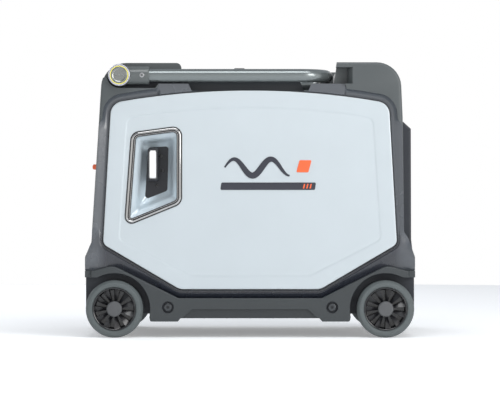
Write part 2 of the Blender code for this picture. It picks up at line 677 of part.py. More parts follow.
def recoil_starter():
    """A grooved pulley on a post in the closed end of the cowling over the flywheel."""
    centre = (0, CRANK_Z)
    rim, groove = 7, 4
    profile = [(6, -rim), (PULLEY_FLANGE, -rim), (PULLEY_FLANGE, -groove), (PULLEY_GROOVE, -groove)]
    profile += [(radius, -level) for radius, level in reversed(profile)]
    profile = [(radius, PULLEY_X + level) for radius, level in profile]
    pulley = turned("recoil_pulley", "X", centre, profile, BLACK)
    pivot("pulley_axis", (PULLEY_X, 0, CRANK_Z), [pulley])

    end, mouth = PULLEY_X - 15, -36.4
    profile = [(0, end), (64, end), (COWL_RADIUS, end + 9), (COWL_RADIUS, mouth), (COWL_RADIUS - 3, mouth)]
    profile += [(COWL_RADIUS - 3, end + 10), (62, end + 3), (5.4, end + 3), (5.4, PULLEY_X + 9)]
    cowling = turned("cowling", "X", centre, profile + [(0, PULLEY_X + 9)], BLACK)
    cut(cowling, rod("rope_way", "Y", (PULLEY_X, ROPE_Z), 6, -100, -20, sides=12))


def inverter():
    module = box("inverter_module", (-236, -118, END_FLOOR + GAP), (-198, 118, 176), ALLOY, 2)
    pitch, slot = 26, 16
    for row in range(9):
        y = (row - 4.5) * pitch + (pitch - slot) / 2
        cut(module, box(f"fin_gap_{row + 1}", (-218, y, 40), (-190, y + slot, 190)))


# ---- wheels -----------------------------------------------------------------------------------
def wheel(end, side):
    name = f"{end_name(end)}_{side_name(side)}"
    axis = "Y" if side > 0 else "-Y"
    centre = (end * WHEEL_X, WHEEL_Z)
    tread = WHEEL_RADIUS
    profile = [(RIM_RADIUS, WHEEL_IN), (tread - 5, WHEEL_IN), (tread, WHEEL_IN + 5), (tread, WHEEL_OUT - 6)]
    profile += [(tread - 6, WHEEL_OUT), (RIM_RADIUS, WHEEL_OUT - 2)]
    tyre = turned(f"tyre_{name}", axis, centre, profile, RUBBER, sides=32)

    seat = RIM_RADIUS - 0.3
    bore = AXLE_RADIUS + GAP
    web, hub, cap = WHEEL_OUT - 14, 14, WHEEL_OUT
    profile = [(bore, WHEEL_IN), (hub, WHEEL_IN), (hub, web - 5), (seat - 3, web - 5), (seat - 3, WHEEL_IN)]
    profile += [(seat, WHEEL_IN), (seat, cap - 3), (seat - 4, web), (hub, web)]
    profile += [(hub, cap), (0, cap), (0, cap - 5), (bore, cap - 5)]
    rim = turned(f"rim_{name}", axis, centre, profile, BLACK, sides=20)
    middle = side * (WHEEL_IN + WHEEL_OUT) / 2
    pivot(f"axis_{name}", (end * WHEEL_X, middle, WHEEL_Z), [tyre, rim])


def axles():
    reach = WHEEL_OUT - 6
    for end in (-1, 1):
        centre = (end * WHEEL_X, WHEEL_Z)
        rod(f"axle_{end_name(end)}", "Y", centre, AXLE_RADIUS, -reach, reach, STEEL, sides=16)


# ---- tow handle -------------------------------------------------------------------------------
def handle_hub(side):
    name = side_name(side)
    centre = (PIVOT_X, PIVOT_Z)
    pin, recess = 8, LOCK_RADIUS + 0.6
    inner, outer, recess_floor = CHANNEL_BACK + 2, HALF_WIDTH - 2.5, HALF_WIDTH - 14
    profile = [(0, FRAME_BACK - 2), (pin, FRAME_BACK - 2), (pin, inner), (HUB_RADIUS, inner)]
    profile += [(HUB_RADIUS, outer - 1.5), (HUB_RADIUS - 1.5, outer), (0, outer)]
    hub = turned(f"handle_hub_{name}", "Y" if side > 0 else "-Y", centre, profile, SHELL)
    leg = (side * TUBE_Y, PIVOT_Z)
    fuse(hub, rod(f"socket_{name}", "X", leg, 16.5, PIVOT_X + 12, PIVOT_X + 54))
    cut(hub, rod(f"socket_bore_{name}", "X", leg, TUBE_RADIUS + 0.6, TUBE_START - 1, PIVOT_X + 60))
    cut(hub, rod(f"button_room_{name}", "Y", centre, recess, *span(side, recess_floor, HALF_WIDTH + 2)))
    low, high = span(side, HALF_WIDTH - 10, HALF_WIDTH)
    return [hub, rod(f"lock_button_{name}", "Y", centre, LOCK_RADIUS, low, high, CHROME)]


def handle():
    bend = arc(GRIP_X - BEND_RADIUS, -(TUBE_Y - BEND_RADIUS), BEND_RADIUS, -90, 0, 7)
    half = [(TUBE_START, -TUBE_Y)] + bend
    path = [(x, y, PIVOT_Z) for x, y in half] + [(x, -y, PIVOT_Z) for x, y in reversed(half)]
    bow = tube("handle_bow", path, TUBE_RADIUS, TUBE_PAINT)
    pivot("handle_axis", (PIVOT_X, 0, PIVOT_Z), [bow, *handle_hub(-1), *handle_hub(1)])


base_tray()
for which in (-1, 1):
    side_frame(which)
    side_panel(which)
badge()
starter_recess()
control_end_cover()
exhaust_end_cover()
top_cover()
fuel_system()
control_panel()
engine()
exhaust()
alternator()
recoil_starter()
inverter()
axles()
for which_end in (-1, 1):
    for which_side in (-1, 1):
        wheel(which_end, which_side)
handle()
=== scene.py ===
"""Looks of the closed-frame inverter generator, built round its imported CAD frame.

+X runs towards the exhaust end, -X towards the control end, -Y is the starter side and +Z is up.
Lengths are written in millimetres, and MM turns them into the frame's metres.
"""

import json
from math import ceil, cos, exp, pi, radians, sin, sqrt, tan

import bmesh
import bpy
from mathutils import Matrix, Vector

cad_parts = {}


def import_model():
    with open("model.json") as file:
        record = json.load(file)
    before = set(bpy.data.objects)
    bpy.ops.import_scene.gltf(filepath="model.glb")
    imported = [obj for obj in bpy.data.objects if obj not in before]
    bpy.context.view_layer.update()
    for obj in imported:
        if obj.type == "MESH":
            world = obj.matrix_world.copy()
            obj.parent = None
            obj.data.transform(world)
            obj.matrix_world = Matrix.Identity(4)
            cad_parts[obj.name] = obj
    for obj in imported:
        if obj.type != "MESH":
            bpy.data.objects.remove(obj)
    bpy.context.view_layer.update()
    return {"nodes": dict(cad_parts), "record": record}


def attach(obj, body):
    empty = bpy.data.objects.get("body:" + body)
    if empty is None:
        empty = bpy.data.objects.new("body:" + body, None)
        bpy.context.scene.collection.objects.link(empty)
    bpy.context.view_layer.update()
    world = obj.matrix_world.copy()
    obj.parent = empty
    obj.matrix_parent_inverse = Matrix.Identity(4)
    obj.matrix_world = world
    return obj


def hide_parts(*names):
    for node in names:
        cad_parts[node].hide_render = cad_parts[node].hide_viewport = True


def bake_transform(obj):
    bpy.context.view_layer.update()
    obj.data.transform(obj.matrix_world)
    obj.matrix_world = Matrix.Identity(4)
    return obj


MM = 0.001
WELD = 1e-6
SHARP = radians(32)

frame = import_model()
OWNER = {node: body for body, nodes in frame["record"]["behaviour"]["bodies"].items() for node in nodes}
SIDES = {"starter_side": -1, "service_side": 1}
ENDS = {"control_end": -1, "exhaust_end": 1}

# ---- dimensions shared with the CAD, mm
HALF_LENGTH = 300.0
HEIGHT = 500.0
WALL = 3.5

# Distances from the middle plane, y = 0.
BASE_FACE = 190.0
FRAME_FACE = 186.0
FRAME_BACK = 150.0
PANEL_FACE = 182.0
FIELD_FACE = 180.8
COVER_SIDE = 149.6
CHANNEL_BACK = 160.0
POCKET_FLOOR = 145.0
WELL_BACK = 154.0

WHEEL_RADIUS, WHEEL_X, WHEEL_OUT, WHEEL_IN = 52.0, 246.0, 196.0, 160.0
ARCH_RADIUS = 65.0
MOUTH_ANGLE = 61.5
TRAY_TOP, TRAY_UNDER, FOOT_BOTTOM = 121.5, 35.0, 29.0
SCREW_X, SCREW_Z = 149.0, 55.0

PIVOT = (-237.0, 476.0)
HUB_RADIUS, HUB_ROOM, LOCK_RADIUS = 20.0, 23.0, 15.0
TUBE_RADIUS, TUBE_Y, TUBE_START = 12.0, 179.0, -209.0
SOCKET_END = -183.0
GRIP_X, BEND_RADIUS = 140.0, 50.0
PAD_TOP, RAIL_TOP = 461.0, 453.0

PULLEY_X, ROPE_Z, ROPE_RADIUS = -177.0, 314.0, 2.5
OUTLET = (62.0, 318.0)
CAP = (-20.0, 0.0)
DECK_TOP = 478.0
PLATE_X = -272.0
WINDOW_LOW, WINDOW_HIGH = (-126.0, 198.0), (126.0, 384.0)


# ---- materials
def feed(tree, node, inputs):
    """Links the inputs that are given as sockets and sets the others to their values."""
    for name, value in inputs.items():
        if isinstance(value, bpy.types.NodeSocket):
            tree.links.new(value, node.inputs[name])
        else:
            node.inputs[name].default_value = value


def add(tree, kind, inputs, output, **settings):
    """Adds a shader node and returns its output of the given name."""
    made = tree.nodes.new("ShaderNode" + kind)
    for name, value in settings.items():
        setattr(made, name, value)
    feed(tree, made, inputs)
    return made.outputs[output]


MOULDED = (1400.0, 0.35)  # scale and depth of a moulded plastic's grain
FLAKE = (2600, 0.05)
CLOUD_SCALE, COAT_ROUGHNESS, GRAIN_HEIGHT = 11.0, 0.08, 0.0002


def look(name, colour, roughness, metallic=0.0, coat=0.0, mottle=0.08, grain=MOULDED, kind="grain", glow=0):
    """A node material with cloudy colour and gloss, and a fine relief of the named kind."""
    made = bpy.data.materials.new(name)
    made.use_nodes = True
    tree = made.node_tree
    place = add(tree, "TexCoord", {}, "Object")
    cloud = add(tree, "TexNoise", {"Scale": CLOUD_SCALE, "Detail": 4.0, "Vector": place}, "Fac")
    dark, pale = [(*[min(1.0, c * (1 + way * mottle)) for c in colour], 1.0) for way in (-1, 1)]
    tone = add(tree, "Mix", {"A": dark, "B": pale, "Factor": cloud}, "Result", data_type="RGBA")
    limits = {"To Min": max(0.03, roughness * 0.88), "To Max": min(1.0, roughness * 1.12)}
    gloss = add(tree, "MapRange", {"Value": cloud, **limits}, "Result")

    scale, depth = grain
    stretch = {"Vector": place, "Scale": (0.02 if kind == "brushed" else 1.0, 1.0, 1.0)}
    relief = {"Vector": add(tree, "Mapping", stretch, "Vector"), "Scale": scale}
    if kind == "flake":
        height = add(tree, "TexVoronoi", relief, "Distance")
    elif kind == "braid":
        height = add(tree, "TexWave", relief, "Fac", bands_direction="DIAGONAL")
    else:
        height = add(tree, "TexNoise", {**relief, "Detail": 2.0}, "Fac")
    bump = add(tree, "Bump", {"Strength": depth, "Distance": GRAIN_HEIGHT, "Height": height}, "Normal")
    finish = {"Base Color": tone, "Roughness": gloss, "Normal": bump, "Metallic": metallic}
    finish.update({"Coat Weight": coat, "Coat Roughness": COAT_ROUGHNESS})
    finish.update({"Emission Color": (*colour, 1.0), "Emission Strength": glow})
    feed(tree, tree.nodes["Principled BSDF"], finish)
    return made


def paint_low_shade(material, colour, low, high, inner, outer):
    """Paints shade into the material's colour below a height, except towards the ends; all four limits in
    metres.
    """
    tree = material.node_tree
    shader = tree.nodes["Principled BSDF"]
    base = shader.inputs["Base Color"].links[0].from_socket
    split = tree.nodes.new("ShaderNodeSeparateXYZ")
    feed(tree, split, {"Vector": add(tree, "TexCoord", {}, "Object")})
    away = add(tree, "Math", {0: split.outputs["X"]}, "Value", operation="ABSOLUTE")
    shares = {}
    for slot, (value, start, end) in enumerate(((split.outputs["Z"], low, high), (away, inner, outer))):
        ramp = {"From Min": start, "From Max": end, "Value": value}
        shares[slot] = add(tree, "MapRange", ramp, "Result", interpolation_type="SMOOTHSTEP")
    most = add(tree, "Math", shares, "Value", operation="MAXIMUM")
    blend = {"A": (*colour, 1.0), "B": base, "Factor": most}
    feed(tree, shader, {"Base Color": add(tree, "Mix", blend, "Result", data_type="RGBA")})


SHELL = look("shell_plastic", (0.070, 0.080, 0.083), 0.42)
SATIN = look("shell_satin", (0.068, 0.076, 0.088), 0.27, coat=0.8, grain=(1400.0, 0.15))
# Painted shade: the border's dish is darker below the sill height, except near the ends.
paint_low_shade(SATIN, (0.016, 0.019, 0.028), 0.158, 0.192, 0.258, 0.284)
# Painted shade: a darker copy of the tray plastic on the sunk step low on the tray.
TRAY_BAND_PAINTED_SHADE = look("tray_band_painted_shade", (0.024, 0.028, 0.031), 0.45)
TRAY = look("tray_plastic", (0.036, 0.042, 0.045), 0.45)
DARK_STEEL = look("dark_steel", (0.07, 0.075, 0.08), 0.30, 0.8, grain=(900.0, 0.10))
# Painted shade: a darker copy of the shell plastic on the faces cut for recesses, wheel wells, counterbores,
# slots, louvres, the exhaust cover's cheeks and the strip under the handle tube.
PAINTED_SHADE = look("shell_painted_shade", (0.020, 0.024, 0.032), 0.50)
# Painted shade: the deck and its ribs are a darker copy of the shell plastic, darkened for the shade under
# the handle.
DECK_PAINTED_SHADE = look("deck_painted_shade", (0.018, 0.022, 0.027), 0.46)
# Painted shade: the exhaust cover and its slats are darker than the control cover, though both are the same
# plastic.
COVER_PAINTED_SHADE = look("exhaust_cover_painted_shade", (0.038, 0.041, 0.049), 0.42)
SILVER = look("silver_paint", (0.515, 0.569, 0.599), 0.34, 0.15, 0.35, 0.03, FLAKE, "flake")
POCKET = look("pocket_paint", (0.56, 0.64, 0.69), 0.30, 0.25, 0.2, 0.04, FLAKE, "flake")
CHROME = look("chrome", (0.46, 0.455, 0.45), 0.06, 1.0, mottle=0.05, grain=(300.0, 0.02))
BLACK = look("black_plastic", (0.013, 0.014, 0.019), 0.38, grain=(1100.0, 0.30))
GLOSS_BLACK = look("gloss_black", (0.008, 0.008, 0.010), 0.22, coat=0.35, grain=(500.0, 0.03))
VANE = look("vane_plastic", (0.009, 0.009, 0.011), 0.28, coat=0.15, grain=(700.0, 0.06))
HUB_CAP = look("hub_cap_plastic", (0.085, 0.088, 0.092), 0.45, grain=(1200.0, 0.35))
RUBBER = look("tyre_rubber", (0.090, 0.105, 0.107), 0.62, mottle=0.12, grain=(800.0, 0.40))
TUBE_PAINT = look("tube_paint", (0.192, 0.215, 0.217), 0.25, 0.60, 0.25, 0.04, (1600.0, 0.12))
SOCKET_PLASTIC = look("socket_plastic", (0.090, 0.102, 0.102), 0.34, coat=0.2, grain=(1200.0, 0.20))
RING_GREY = look("ring_enamel", (0.50, 0.50, 0.58), 0.25, 0.6, coat=0.3, grain=(500.0, 0.04))
YELLOW = look("yellow_enamel", (0.80, 0.74, 0.18), 0.35, coat=0.2, grain=(900.0, 0.10))
BUTTON = look("button_metal", (0.25, 0.26, 0.25), 0.26, 0.85, mottle=0.18, grain=(220.0, 0.25))
WHITE = look("white_insert", (0.86, 0.88, 0.88), 0.25, coat=0.4, mottle=0.02, grain=(600.0, 0.03))
ORANGE = look("orange_plastic", (0.82, 0.13, 0.035), 0.34, coat=0.2, grain=(900.0, 0.12))
INK = look("badge_ink", (0.020, 0.022, 0.035), 0.35, coat=0.3, mottle=0.04, grain=(900.0, 0.03))
STEEL = look("zinc_steel", (0.42, 0.42, 0.43), 0.34, 1.0, grain=(700.0, 0.30), kind="brushed")
HEAT_STEEL = look("muffler_steel", (0.34, 0.32, 0.30), 0.42, 1.0, mottle=0.20, grain=(400.0, 0.30))
ALLOY = look("cast_alloy", (0.46, 0.47, 0.48), 0.48, 0.9, mottle=0.10, grain=(350.0, 0.50))
COPPER = look("winding_copper", (0.60, 0.27, 0.11), 0.36, 1.0, grain=(1500.0, 0.60), kind="braid")
ROPE = look("rope_braid", (0.045, 0.046, 0.050), 0.80, grain=(900.0, 1.0), kind="braid")
GLASS = look("display_glass", (0.018, 0.030, 0.032), 0.08, coat=0.8, mottle=0.05, grain=(200.0, 0.01))
LAMP = look("lamp_green", (0.10, 0.55, 0.22), 0.22, coat=0.6, grain=(600.0, 0.03))
TANK = look("tank_plastic", (0.030, 0.030, 0.033), 0.46, mottle=0.14, grain=(500.0, 0.35))


# ---- outlines
def rounded(corners, steps=8):
    """Points of a closed outline from (u, v, radius) corners, each rounded by an arc."""
    points = []
    count = len(corners)
    for i, (u, v, radius) in enumerate(corners):
        here = Vector((u, v))
        if radius <= 0:
            points.append((u, v))
            continue
        before = (Vector(corners[i - 1][:2]) - here).normalized()
        after = (Vector(corners[(i + 1) % count][:2]) - here).normalized()
        half = before.angle(after) / 2
        reach = radius / tan(half)
        centre = here + (before + after).normalized() * (radius / sin(half))
        start = here + before * reach - centre
        turn = (here + after * reach - centre).angle_signed(start)
        for k in range(steps + 1):
            spoke = start.copy()
            spoke.rotate(Matrix.Rotation(turn * k / steps, 2))
            points.append(tuple(centre + spoke))
    return points


def mirrored(right_half):
    """A closed outline from its right half, listed from the bottom to the top."""
    return right_half + [(-u, v, r) for u, v, r in reversed(right_half)]


def mitres(points):
    """The outward step at each point of an anticlockwise outline for an offset of one."""
    steps = []
    for i, point in enumerate(points):
        here = Vector(point)
        before = (here - Vector(points[i - 1])).normalized()
        after = (Vector(points[(i + 1) % len(points)]) - here).normalized()
        out_after = Vector((after.y, -after.x))
        mitre = (Vector((before.y, -before.x)) + out_after).normalized()
        steps.append(mitre / max(0.3, mitre.dot(out_after)))
    return steps


def grown(points, by):
    """The outline moved outwards by a distance; its points run anticlockwise."""
    return [tuple(Vector(p) + step * by) for p, step in zip(points, mitres(points))]


def even(points, spacing):
    """The closed outline with its long edges divided to the spacing."""
    dense = []
    for i, start in enumerate(points):
        a, b = Vector(start), Vector(points[(i + 1) % len(points)])
        parts = max(1, ceil((b - a).length / spacing))
        dense += [tuple(a.lerp(b, k / parts)) for k in range(parts)]
    return dense


def arc(u, v, radius, start, end, steps=12):
    """Points on an arc between two angles in degrees."""
    points = []
    for k in range(steps + 1):
        angle = radians(start + (end - start) * k / steps)
        points.append((u + radius * cos(angle), v + radius * sin(angle)))
    return points


def crowned(half_width, crown_z, radius, steps=12):
    """Right half of a shallow arch over x, from its right end towards the middle."""
    points = []
    for k in range(steps):
        x = half_width * (1 - k / steps)
        points.append((x, crown_z - radius + sqrt(radius**2 - x**2), 0))
    return points


def sheet_outline(path, thickness):
    """Closed outline of a bent sheet: the path, then the path moved to its right."""
    inner = []
    for i, point in enumerate(path):
        here = Vector(point)
        after = Vector(path[i + 1]) - here if i + 1 < len(path) else here - Vector(path[i - 1])
        before = here - Vector(path[i - 1]) if i else after.copy()
        before.normalize()
        after.normalize()
        right_after = Vector((after.y, -after.x))
        mitre = (Vector((before.y, -before.x)) + right_after).normalized()
        inner.append(tuple(here + mitre * thickness / max(0.4, mitre.dot(right_after))))
    return path + inner[::-1]


def around(centre, radius, angle):
    """The point at an angle in radians on a circle."""
    return (centre[0] + radius * cos(angle), centre[1] + radius * sin(angle))


def span(side, a, b):
    """Two distances from the middle plane as the low and high y of one side."""
    return sorted((side * a, side * b))


def facing_front(section):
    """A section of (growth, distance) points, with the distances turned to the starter side."""
    return [(by, -level) for by, level in section]


def ease(low, high, value):
    """0 below low, 1 above high and a smooth rise between them."""
    t = min(1.0, max(0.0, (value - low) / (high - low)))
    return t * t * (3 - 2 * t)


# ---- solids
def spot(axis, centre, level, u=0.0, v=0.0):
    """A point (u, v) from the centre in the plane across an axis, at a level along it."""
    a, b = centre[0] + u, centre[1] + v
    return {"X": (level, a, b), "Y": (a, level, b), "Z": (a, b, level)}[axis]


def placed(name, data):
    """A new object for the data, linked into the scene."""
    made = bpy.data.objects.new(name, data)
    bpy.context.scene.collection.objects.link(made)
    return made


def applied(made):
    """The object's mesh with its curve or modifiers applied."""
    return bpy.data.meshes.new_from_object(made.evaluated_get(bpy.context.evaluated_depsgraph_get()))


def crease(mesh):
    mesh.shade_smooth()
    mesh.set_sharp_from_angle(angle=SHARP)


def finished(name, bm, material=None):
    """Object from a closed bmesh; one with no material of its own is a cutter."""
    bmesh.ops.remove_doubles(bm, verts=bm.verts, dist=WELD)
    loose = [edge for edge in bm.edges if not edge.link_faces]
    bmesh.ops.delete(bm, geom=loose, context="EDGES")
    bmesh.ops.recalc_face_normals(bm, faces=bm.faces)
    mesh = bpy.data.meshes.new(name)
    bm.to_mesh(mesh)
    bm.free()
    crease(mesh)
    if material:
        mesh.materials.append(material)
    return placed(name, mesh)


def skin(name, rings, material=None, wrap=False):
    """A closed solid through rings of points; wrap joins the last ring to the first, without caps."""
    bm = bmesh.new()
    rows = [[bm.verts.new(Vector(point) * MM) for point in ring] for ring in rings]
    pairs = list(zip(rows, rows[1:]))
    if wrap:
        pairs.append((rows[-1], rows[0]))
    else:
        bm.faces.new(rows[0])
        bm.faces.new(rows[-1])
    for near, far in pairs:
        for i in range(len(near)):
            bm.faces.new((near[i - 1], near[i], far[i], far[i - 1]))
    return finished(name, bm, material)


def rim_stops(low, high, edges, steps=4):
    """(growth, level) stops of an extrusion whose two rims are rounded over by the edges."""
    stops = []
    for level, edge, inwards in ((low, edges[0], 1), (high, edges[1], -1)):
        part = [(0.0, level)]
        if edge:
            turns = [pi / 2 * k / steps for k in range(steps + 1)]
            part = [(edge * (sin(a) - 1), level + inwards * edge * (1 - cos(a))) for a in turns]
        stops += part[::inwards]
    return stops


def prism(name, outline, low, high, material=None, axis="Y", edges=(0, 0)):
    """A flat outline extruded between two levels of an axis, with its rims rounded over."""
    rings = []
    for by, level in rim_stops(low, high, edges):
        rings.append([spot(axis, (0, 0), level, u, v) for u, v in (grown(outline, by) if by else outline)])
    return skin(name, rings, material)


def hoop(name, outline, section, material=None, axis="Y"):
    """A ring round an outline; its closed section is (growth, level) points."""
    rings = [[spot(axis, (0, 0), level, u, v) for u, v in grown(outline, by)] for by, level in section]
    return skin(name, rings, material, wrap=True)


def turned(name, axis, centre, profile, material=None, sides=72):
    """A profile of (radius, level) points turned about an axis."""
    rings = []
    for radius, level in profile:
        turns = [2 * pi * k / sides for k in range(sides)]
        rings.append([spot(axis, centre, level, radius * cos(a), radius * sin(a)) for a in turns])
    return skin(name, rings, material, wrap=True)


def disc(name, axis, centre, radius, low, high, material=None, edges=(0, 0), sides=48):
    """A short round post with rounded rims."""
    stops = [(radius + by, level) for by, level in rim_stops(low, high, edges, 3)]
    return turned(name, axis, centre, [(0, low), *stops, (0, high)], material, sides)


def box(name, low, high, material=None, soft=0.0):
    bm = bmesh.new()
    bmesh.ops.create_cube(bm, size=1.0)
    bmesh.ops.scale(bm, vec=[(b - a) * MM for a, b in zip(low, high)], verts=bm.verts)
    bmesh.ops.translate(bm, vec=[(a + b) / 2 * MM for a, b in zip(low, high)], verts=bm.verts)
    if soft:
        bmesh.ops.bevel(bm, geom=bm.edges[:], offset=soft * MM, segments=3, profile=0.5, affect="EDGES")
    return finished(name, bm, material)


def tube(name, path, radius, material=None, resolution=9):
    """A round tube along a path of points."""
    curve = bpy.data.curves.new(name, "CURVE")
    curve.dimensions = "3D"
    curve.bevel_depth = radius * MM
    curve.bevel_resolution = resolution
    curve.use_fill_caps = True
    spline = curve.splines.new("POLY")
    spline.points.add(len(path) - 1)
    for point, place in zip(spline.points, path):
        point.co = (*[c * MM for c in place], 1)
    drawn = placed(name + "_line", curve)
    bpy.context.view_layer.update()
    bm = bmesh.new()
    bm.from_mesh(applied(drawn))
    bpy.data.objects.remove(drawn)
    return finished(name, bm, material)


def combine(piece, operation, others):
    """Applies the cuts or unions at once; faces that a cutter makes take its material if it has one."""
    for other in others:
        step = piece.modifiers.new("step", "BOOLEAN")
        step.operation = operation
        step.solver = "EXACT"
        step.material_mode = "TRANSFER"
        step.object = other
        if not other.data.materials:
            other.data.materials.append(piece.data.materials[0] if piece.data.materials else None)
    bpy.context.view_layer.update()
    mesh = applied(piece)
    piece.modifiers.clear()
    piece.data = mesh
    crease(mesh)
    for other in others:
        bpy.data.objects.remove(other)
    return piece


def cut(piece, *others):
    return combine(piece, "DIFFERENCE", others)


def fuse(piece, *others):
    return combine(piece, "UNION", others)


def soften(piece, width=0.6, segments=2):
    """Rounds the piece's sharp edges by a small bevel."""
    bevel = piece.modifiers.new("edges", "BEVEL")
    bevel.width = width * MM
    bevel.segments = segments
    bevel.limit_method = "ANGLE"
    bevel.angle_limit = radians(38)
    bevel.harden_normals = True
    return piece


def moved_copy(piece, name, matrix):
    """A copy of the piece with its mesh moved or mirrored by a matrix in metres."""
    mesh = piece.data.copy()
    mesh.transform(matrix)
    if matrix.determinant() < 0:
        mesh.flip_normals()
    mesh.name = name
    made = placed(name, mesh)
    for old in piece.modifiers:
        soften(made, old.width / MM, old.segments)
    return made


MIRROR_Y = Matrix.Scale(-1, 4, (0, 1, 0))


# ---- how pieces join the frame
def stand_for(piece, node):
    """The piece is shown in place of a CAD node, and moves with its body."""
    beside(piece, node)
    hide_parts(node)


def beside(piece, node):
    """The piece is a detail on a CAD node: it moves with the same body."""
    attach(piece, OWNER[node])


# ---- base tray
TRAY_EDGE = [(130, 72, 12), (249, 131.5, 30), (284, 122, 10), (HALF_LENGTH, TRAY_TOP, 0)]


def tray_outline():
    foot = [(126, TRAY_UNDER, 0), (131, FOOT_BOTTOM, 3), (181, FOOT_BOTTOM, 3), (184, 42, 0)]
    upper = [(u, v - 0.4, r) for u, v, r in TRAY_EDGE]
    return rounded(mirrored(foot + [(HALF_LENGTH, 42, 4)] + upper[::-1]))


def base_tray():
    tray = prism("tray_shell", tray_outline(), -BASE_FACE, BASE_FACE, TRAY, edges=(2.6, 2.6))
    inside, well_wall, roof = FRAME_FACE - 4, WELL_BACK - WALL, TRAY_TOP + 60
    cut(tray, box("room", (-172, -inside, TRAY_UNDER + WALL), (172, inside, roof)))
    for end in ENDS.values():
        near, far = span(end, 170, HALF_LENGTH - WALL)
        cut(tray, box("end_room", (near, -well_wall, 45), (far, well_wall, roof + 5)))
        cut(tray, disc("axle_way", "Y", (end * WHEEL_X, WHEEL_RADIUS), 6.4, -WHEEL_IN, WHEEL_IN))
    for side in SIDES.values():
        low, high = span(side, BASE_FACE - 3, 200)
        slope = [(-126, 33), (126, 33), (105, 51.5), (-105, 51.5)]
        cut(tray, prism("step", slope, low, high, TRAY_BAND_PAINTED_SHADE))
        for end in ENDS.values():
            low, high = span(side, WELL_BACK, 205)
            cut(tray, prism("arch", arch_outline(end), low, high, PAINTED_SHADE))
            tray_corner(tray, end, side)
            screw_seat(tray, end, side)
    stand_for(soften(tray, 0.7), "base_tray")
    tray_ribs()


def arch_outline(end):
    """Round over the wheel and open towards the tray's end."""
    curve = arc(WHEEL_X, WHEEL_RADIUS, ARCH_RADIUS, MOUTH_ANGLE, 205, 40)
    points = [(curve[-1][0], -20), (HALF_LENGTH + 7, -20), (HALF_LENGTH + 7, curve[0][1]), *curve]
    return points if end > 0 else [(-x, z) for x, z in reversed(points)]


def tray_corner(tray, end, side):
    """The fender's lip stops short of the corner, where the tray steps back."""
    lip, back = 286, BASE_FACE - 7
    points = [(lip, BASE_FACE + 5), (lip, BASE_FACE), (lip + 5, back), (310, back), (310, BASE_FACE + 5)]
    step = [(end * x, side * y) for x, y in points]
    if end * side < 0:
        step.reverse()
    cut(tray, prism("lip_step", step, 100, 126, None, "Z"))


def screw_seat(tray, end, side):
    """A counterbore and its pan-head screw with a six-lobed socket."""
    centre = (end * SCREW_X, SCREW_Z)
    deep, mouth = span(side, BASE_FACE - 6, 200)
    cut(tray, disc("counterbore", "Y", centre, 10.8, deep, mouth, PAINTED_SHADE))
    name = f"{'exhaust' if end > 0 else 'control'}_end_{'service' if side > 0 else 'starter'}_side"
    low, high = span(side, BASE_FACE - 5.8, BASE_FACE - 1.6)
    edges = (0.3, 1.8) if side > 0 else (1.8, 0.3)
    screw = disc(f"screw_head_{name}", "Y", centre, 7.6, low, high, DARK_STEEL, edges)
    lobes = [(a, 2.6 + 0.5 * cos(6 * a)) for a in (pi * k / 18 for k in range(36))]
    outline = [around(centre, r, a) for a, r in lobes]
    low, high = span(side, BASE_FACE - 4, BASE_FACE + 1)
    cut(screw, prism("socket", outline, low, high, BLACK))
    stand_for(screw, f"screw_{name}")


def tray_ribs():
    """Stiffening ribs across the underside, between the feet."""
    for k, x in enumerate((-84, -42, 0, 42, 84)):
        low, high = (x - 1.5, -150, TRAY_UNDER - 2.2), (x + 1.5, 150, TRAY_UNDER + 1)
        beside(box(f"tray_rib_{k + 1}", low, high, SHELL, 0.8), "base_tray")


# ---- side frames
CROWN_RADIUS = 1400.0
PANEL_HALF = [(128, 87.7, 28), (267, 169.5, 14), (252.4, 425.7, 24), *crowned(205, 448.5, CROWN_RADIUS)]
FIELD_HALF = [(108, 113, 20), (236, 178, 12), (222, 396, 12), *crowned(196, 415.5, CROWN_RADIUS)]
PANEL_OUTLINE = rounded(mirrored(PANEL_HALF))
FIELD_OUTLINE = rounded(mirrored(FIELD_HALF))
EXHAUST_EDGE = [(HALF_LENGTH, 146, 8), (288, 180, 16), (280, 192, 6), (277.5, 400, 0), (273, HEIGHT, 45)]
CONTROL_EDGE = [(HALF_LENGTH, 146, 8), (288.5, 173, 8), (274.8, 390, 0), (268, HEIGHT, 45)]

# Sections across the border: growth from the panel's edge, and distance from the middle plane.
GAP_AND_BEADS = [(2.0, 172), (2.0, 178.6), (2.5, 179.6), (3.2, 179.6), (3.8, 176.8), (5.8, 176.8)]
SILL = GAP_AND_BEADS + [(6.4, 179.6), (7.6, 180.2), (9.4, 179.4), (14, 177.4), (22, 175.6), (32, 174.8)]
SILL += [(44, 174.6), (60, 174.6), (61, 200)]
RAIL = [(2.0, 172), (2.0, 176.8), (2.5, 177.6), (3.4, 177.8), (4.0, 177.0), (5.8, 177.2), (6.4, 177.5)]
RAIL += [(7.6, 178.1), (9.4, 179.1), (13, 181.0), (17, 182.8), (21, 184.2), (26, 185.4), (32, 186.4)]
RAIL += [(33, 200)]
GUARD = [(2.0, 172), (2.0, 176.8), (2.5, 177.6), (3.4, 177.8), (4.0, 177.0), (5.4, 177.0), (6.4, 177.1)]
GUARD += [(7.8, 177.6), (9.2, 178.5), (10.6, 179.9), (12.0, 181.8), (13.2, 184.0), (14.2, 186.6)]
GUARD += [(14.8, 189)]
GUARD += [(15.5, 200)]
PAD = [(2.0, 172), (2.0, 181.0), (2.5, 182.2), (3.4, 182.9)]
PAD += [(4 + 2 * k, 183.2) for k in range(10)] + [(25, 200)]


